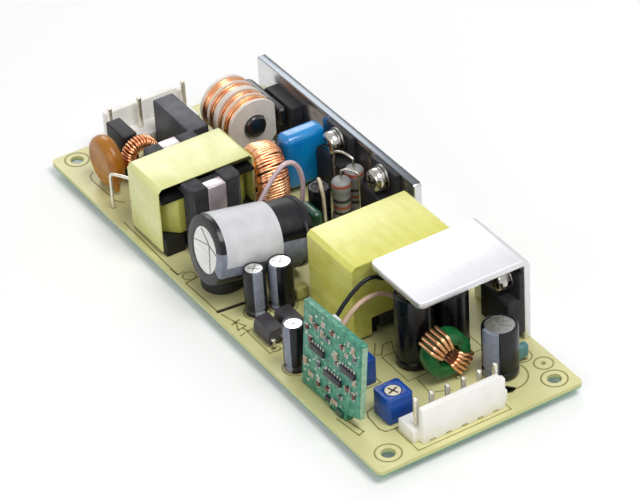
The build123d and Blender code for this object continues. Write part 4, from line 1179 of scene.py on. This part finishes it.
print("stage: control card")
card = {"x": 105.9, "y": 2.45, "yaw": 2.1, "lean": 5.0, "seat": 0.3, "pads": 70, "seed": 11,
        # a pad's width, height and place along and up, each from and to
        "scatter": ((0.3, 0.75), (0.3, 0.6), (0.8, 20.2), (1.2, 20.2)),
        # along, up, wide, tall, paint
        "chips": ((5.8, 11.5, 4.9, 1.5), (11.6, 7.9, 6.0, 1.5), (16.9, 12.4, 4.9, 1.5)),
        "small": ((10.2, 1.6, 2.4, 1.1, 0), (5.2, 17.0, 1.9, 1.1, 2), (7.3, 16.5, 0.9, 1.6, 1),
                  (9.3, 16.1, 1.7, 1.0, 3), (12.3, 13.9, 1.1, 1.8, 1), (12.8, 12.3, 1.2, 0.9, 2),
                  (18.3, 18.6, 1.0, 1.7, 1), (18.9, 16.9, 1.0, 1.4, 3), (6.4, 8.4, 1.0, 1.7, 3),
                  (3.0, 12.9, 0.9, 1.7, 2), (1.4, 6.5, 1.1, 1.8, 1), (8.8, 8.0, 0.9, 1.5, 2),
                  (9.8, 3.9, 1.8, 1.0, 2), (16.9, 8.1, 1.8, 1.1, 2), (19.0, 7.6, 1.0, 1.7, 2),
                  (19.1, 11.0, 1.0, 1.6, 1), (12.6, 2.2, 1.7, 1.0, 1), (3.2, 17.9, 0.9, 1.6, 1),
                  (14.6, 17.3, 1.6, 0.9, 2), (16.2, 16.2, 1.0, 0.8, 1), (3.6, 4.2, 1.6, 1.0, 1),
                  (6.4, 3.4, 1.0, 1.6, 2), (14.4, 4.6, 1.6, 0.9, 3), (1.6, 15.2, 0.9, 1.6, 2),
                  (11.0, 18.6, 1.7, 1.0, 2), (7.6, 19.0, 1.0, 0.9, 1))}


def controlCard():
    place = spot(card["x"], card["y"]) @ Matrix.Rotation(radians(card["yaw"]), 4, "Z")
    place = place @ Matrix.Rotation(radians(-card["lean"]), 4, "X")
    softened("control_board", "control_card", 0.12, "green laminate")
    bm, metal = bmesh.new(), bmesh.new()

    def fitted(along, out, up):
        return place @ Matrix.Translation((along, out, card["seat"] + up))

    for along, up, wide, tall in card["chips"]:
        softBox(bm, (wide, 0.75, tall), fitted(along, -0.42, up), 0.12, 2, 0)
        legs = max(4, int(wide / 0.95))
        for index in range(legs):
            x = along - wide / 2 + (index + 0.5) * wide / legs
            for side in (-1, 1):
                softBox(metal, (0.46, 0.34, 0.74),
                        fitted(x, -0.17, up + side * (tall / 2 + 0.26)), 0.08, 1)
    for along, up, wide, tall, kind in card["small"]:
        softBox(bm, (wide, 0.5, tall), fitted(along, -0.27, up), 0.08, 2, kind)
        for side in (-1, 1):
            shift = (side * (wide / 2 - 0.12), 0) if wide > tall else (0, side * (tall / 2 - 0.12))
            size = (0.34, 0.56, tall + 0.14) if wide > tall else (wide + 0.14, 0.56, 0.34)
            softBox(metal, size, fitted(along + shift[0], -0.24, up + shift[1]), 0.08, 1)
    softBox(bm, (2.4, 0.8, 1.5), fitted(14.3, -0.25, 0.5), 0.3, 3, 4)
    # vias and bare pads between the parts
    scatter = random.Random(card["seed"])
    for index in range(card["pads"]):
        wide, tall, along, up = (scatter.uniform(*span) for span in card["scatter"])
        softBox(metal, (wide, 0.14, tall), fitted(along, -0.02, up), 0.05, 1)
    slab(bm, (0.08, 1.3, 18.0), fitted(21.02, 0.8, 11.5), 5)
    softBox(bm, (2.6, 1.1, 1.5), fitted(8.8, 2.1, 19.9), 0.2, 2, 6)
    keep("card_components", bm,
         ("chip black", "chip tan", "chip brown", "chip slate", "green dip",
          "card edge", "print white"), smooth=35,
         replaces=["control_card_chips"])
    keep("card_joints", metal, "bright solder", smooth=35)


controlCard()

print("stage: board print and solder")
# rings, lines and boxes printed on the board: places in board millimetres
printed = {
    # x, y, radius, line width
    "rings": ((3.5, 4.4, 2.85, 0.3), (3.5, 46.4, 2.85, 0.3), (136.2, 4.4, 2.85, 0.3),
              (136.2, 46.4, 2.85, 0.3), (79.2, 7.6, 2.9, 0.25), (80.3, 13.6, 3.3, 0.25),
              (100.9, 4.1, 2.9, 0.25), (129.4, 38.5, 4.9, 0.28), (130.6, 47.6, 2.1, 0.28),
              (125.8, 45.2, 2.3, 0.25), (58.9, 2.4, 1.5, 0.25), (92.8, 4.1, 0.95, 0.22),
              (130.6, 47.6, 0.3, 0.4)),
    "boxes": ((88.6, 5.2, 9.6, 6.0), (88.6, 10.4, 9.6, 6.0), (112.2, 12.4, 7.2, 7.2),
              (134.8, 21.5, 8.8, 23.2), (4.9, 23.5, 8.6, 24.6), (17.3, 25.5, 17.6, 6.4),
              (13.1, 12.0, 9.0, 4.7), (113.8, 30.6, 10.2, 19.4)),
    # runs of points with their line width
    "lines": (((10.2, 4.9), (11.3, 3.6), (12.9, 3.1), (23.5, 3.4), (25.4, 4.8), 0.25),
              ((32.2, 0.8), (57.0, 0.5), 0.3), ((54.1, 0.2), (56.9, 0.6), (56.8, 2.1), 0.25),
              ((60.4, 26.0), (60.4, 3.6), (60.8, 0.4), (74.0, 0.7), 0.28),
              ((75.3, 0.9), (79.6, 1.9), 0.28), ((79.3, 3.0), (79.9, 0.9), 0.4),
              ((79.6, 1.9), (82.0, 3.1), (82.4, 0.9), (79.6, 1.9), 0.28),
              ((82.2, 2.1), (84.2, 2.5), 0.28), ((84.0, 1.6), (84.4, 0.3), 0.28),
              ((120.7, 1.8), (127.9, 2.6), (127.4, 4.1), (121.7, 3.1), 0.28),
              ((121.9, 10.2), (122.4, 8.2), (124.0, 7.4), (128.6, 7.1), (130.1, 7.8),
               (130.5, 10.4), 0.28),
              ((119.3, 22.9), (124.8, 22.4), (126.5, 26.6), 0.25),
              ((103.8, 22.4), (107.1, 20.0), (108.0, 21.3), (105.1, 23.5), (105.3, 25.6),
               (109.4, 23.8), 0.25)),
    "bars": (((74.1, 0.8), (74.8, 8.2), 0.75), ((130.9, 34.8), (134.0, 37.4), 0.9),
             ((131.4, 34.7), (134.1, 36.7), 1.1), ((132.6, 34.9), (134.0, 36.0), 0.9)),
}


def boardPrint():
    bm = bmesh.new()
    high = 0.02
    for x, y, radius, wide in printed["rings"]:
        turned(bm, [(radius - wide * 0.65, -high), (radius + wide * 0.65, -high),
                    (radius + wide * 0.65, high), (radius - wide * 0.65, high),
                    (radius - wide * 0.65, -high)], spot(x, y), 48)
    lines = list(printed["lines"])
    for x, y, wide, deep in printed["boxes"]:
        a, b, c, d = x - wide / 2, x + wide / 2, y - deep / 2, y + deep / 2
        lines.append(((a, c), (b, c), (b, d), (a, d), (a, c), 0.22))
    for paint, runs in enumerate((lines, printed["bars"])):
        for run in runs:
            for (x0, y0), (x1, y1) in zip(run[:-2], run[1:-1]):
                length = sqrt((x1 - x0) ** 2 + (y1 - y0) ** 2)
                turn = degrees(atan2(y1 - y0, x1 - x0))
                slab(bm, (length + run[-1], run[-1] * 1.3, 2 * high),
                     spot((x0 + x1) / 2, (y0 + y1) / 2, 0, (0, 0, turn)), paint)
    weld(bm, 1e-8)
    keep("board_print", bm, ("ink", "dark ink"))


boardPrint()


def solderSide():
    points = []
    for node in ("mains_leads", "power_leads", "capacitor_leads", "output_leads",
                 "mains_header_pins", "output_header_pins"):
        for place in islands(node):
            bottom = min(p.z for p in place)
            low, high = corners([p for p in place if p.z < bottom + 0.0004])
            points.append(((low.x + high.x) / 2 / mm, (low.y + high.y) / 2 / mm, 0.0))
    mesh = solderJoints.grow("solder_side", "solder", Matrix.Scale(mm, 4), points, Foot=0.95,
                             Neck=0.42, Rise=1.3)
    bm = opened(mesh, 1e-8)
    bmesh.ops.recalc_face_normals(bm, faces=bm.faces)
    bm.to_mesh(mesh)
    bm.free()
    keep("solder_side", mesh, None, smooth=60)


solderSide()

print("stage: camera and light")
view = {"azimuth": 59.625, "elevation": 35.871, "roll": -3.472,
        "place": (565.776, -260.695, 417.214), "lens": 178.845}


def camera():
    lens = bpy.data.cameras.new("camera")
    lens.sensor_width = 36
    lens.lens = view["lens"]
    lens.clip_start = 0.01
    lens.clip_end = 10
    eye = bpy.data.objects.new("camera", lens)
    scene.collection.objects.link(eye)
    a, e, r = (radians(view[key]) for key in ("azimuth", "elevation", "roll"))
    back = Vector((sin(a) * cos(e), -cos(a) * cos(e), sin(e)))
    across = Vector((cos(a), sin(a), 0))
    up = back.cross(across)
    right = across * cos(r) + up * sin(r)
    top = up * cos(r) - across * sin(r)
    turn = Matrix((right, top, back)).transposed().to_4x4()
    eye.matrix_world = Matrix.Translation(onBoard(*view["place"])) @ turn
    scene.camera = eye


# a round soft lamp that looks at the middle of the board
def lamp(name, place, size, power):
    light = bpy.data.lights.new(name, "AREA")
    light.shape = "DISK"
    light.size = size
    light.energy = power
    shining = bpy.data.objects.new(name, light)
    scene.collection.objects.link(shining)
    shining.location = place
    shining.rotation_euler = (-Vector(place)).to_track_quat("-Z", "Y").to_euler()


camera()
lamps = {"key lamp": {"place": (0.35, 0.10, 0.75), "size": 0.45, "power": 3.7},
         "side lamp": {"place": (0.30, -0.75, 0.40), "size": 0.50, "power": 1.5},
         "back lamp": {"place": (-0.65, 0.25, 0.45), "size": 0.40, "power": 1.4}}
for name, spec in lamps.items():
    lamp(name, **spec)

# strengths: 1 is white
surround = {"seen": 1.0, "lighting": 0.36, "mirrored": 0.75}
ground = {"size": 0.9, "colour": 0.93, "lift": 0.09, "gap": 0.0002}


# 1 for rays from the camera, off polished metal or through clear parts, else 0
def plainRays(graph, metal=1.0):
    seen, shiny, clear = (graph.add("ShaderNodeLightPath", out=index) for index in (0, 3, 6))
    return seen.op("MAXIMUM", shiny * metal).op("MAXIMUM", clear)


# a white surround that the camera and polished metal see, with a dimmer one for the light
def surroundings():
    world = bpy.data.worlds.new("studio")
    scene.world = world
    world.use_nodes = True
    sky = Graph(world.node_tree)
    shader = world.node_tree.nodes["Background"]
    dim = surround["lighting"]
    strength = plainRays(sky, surround["mirrored"]) * (surround["seen"] - dim) + dim
    world.node_tree.links.new(strength.socket, shader.inputs["Strength"])
    shader.inputs["Color"].default_value = (1, 1, 1, 1)


surroundings()


def floor():
    bm = bmesh.new()
    low = cadBox[0][2] - ground["gap"]
    bmesh.ops.create_grid(bm, x_segments=1, y_segments=1, size=ground["size"],
                          matrix=Matrix.Translation((0, 0, low)))
    mesh = poured(bm, "floor")
    sheet = bpy.data.objects.new("floor", mesh)
    scene.collection.objects.link(sheet)
    paint = Paint("floor white")
    pale = paint.blend(plainRays(paint), (0, 0, 0, 1), (*[ground["lift"]] * 3, 1))
    paint.set(colour=(*[ground["colour"]] * 3, 1), rough=0.9, glow=pale, glowing=1.0)
    mesh.materials.append(paint.material)


floor()
scene.view_settings.view_transform = "Standard"
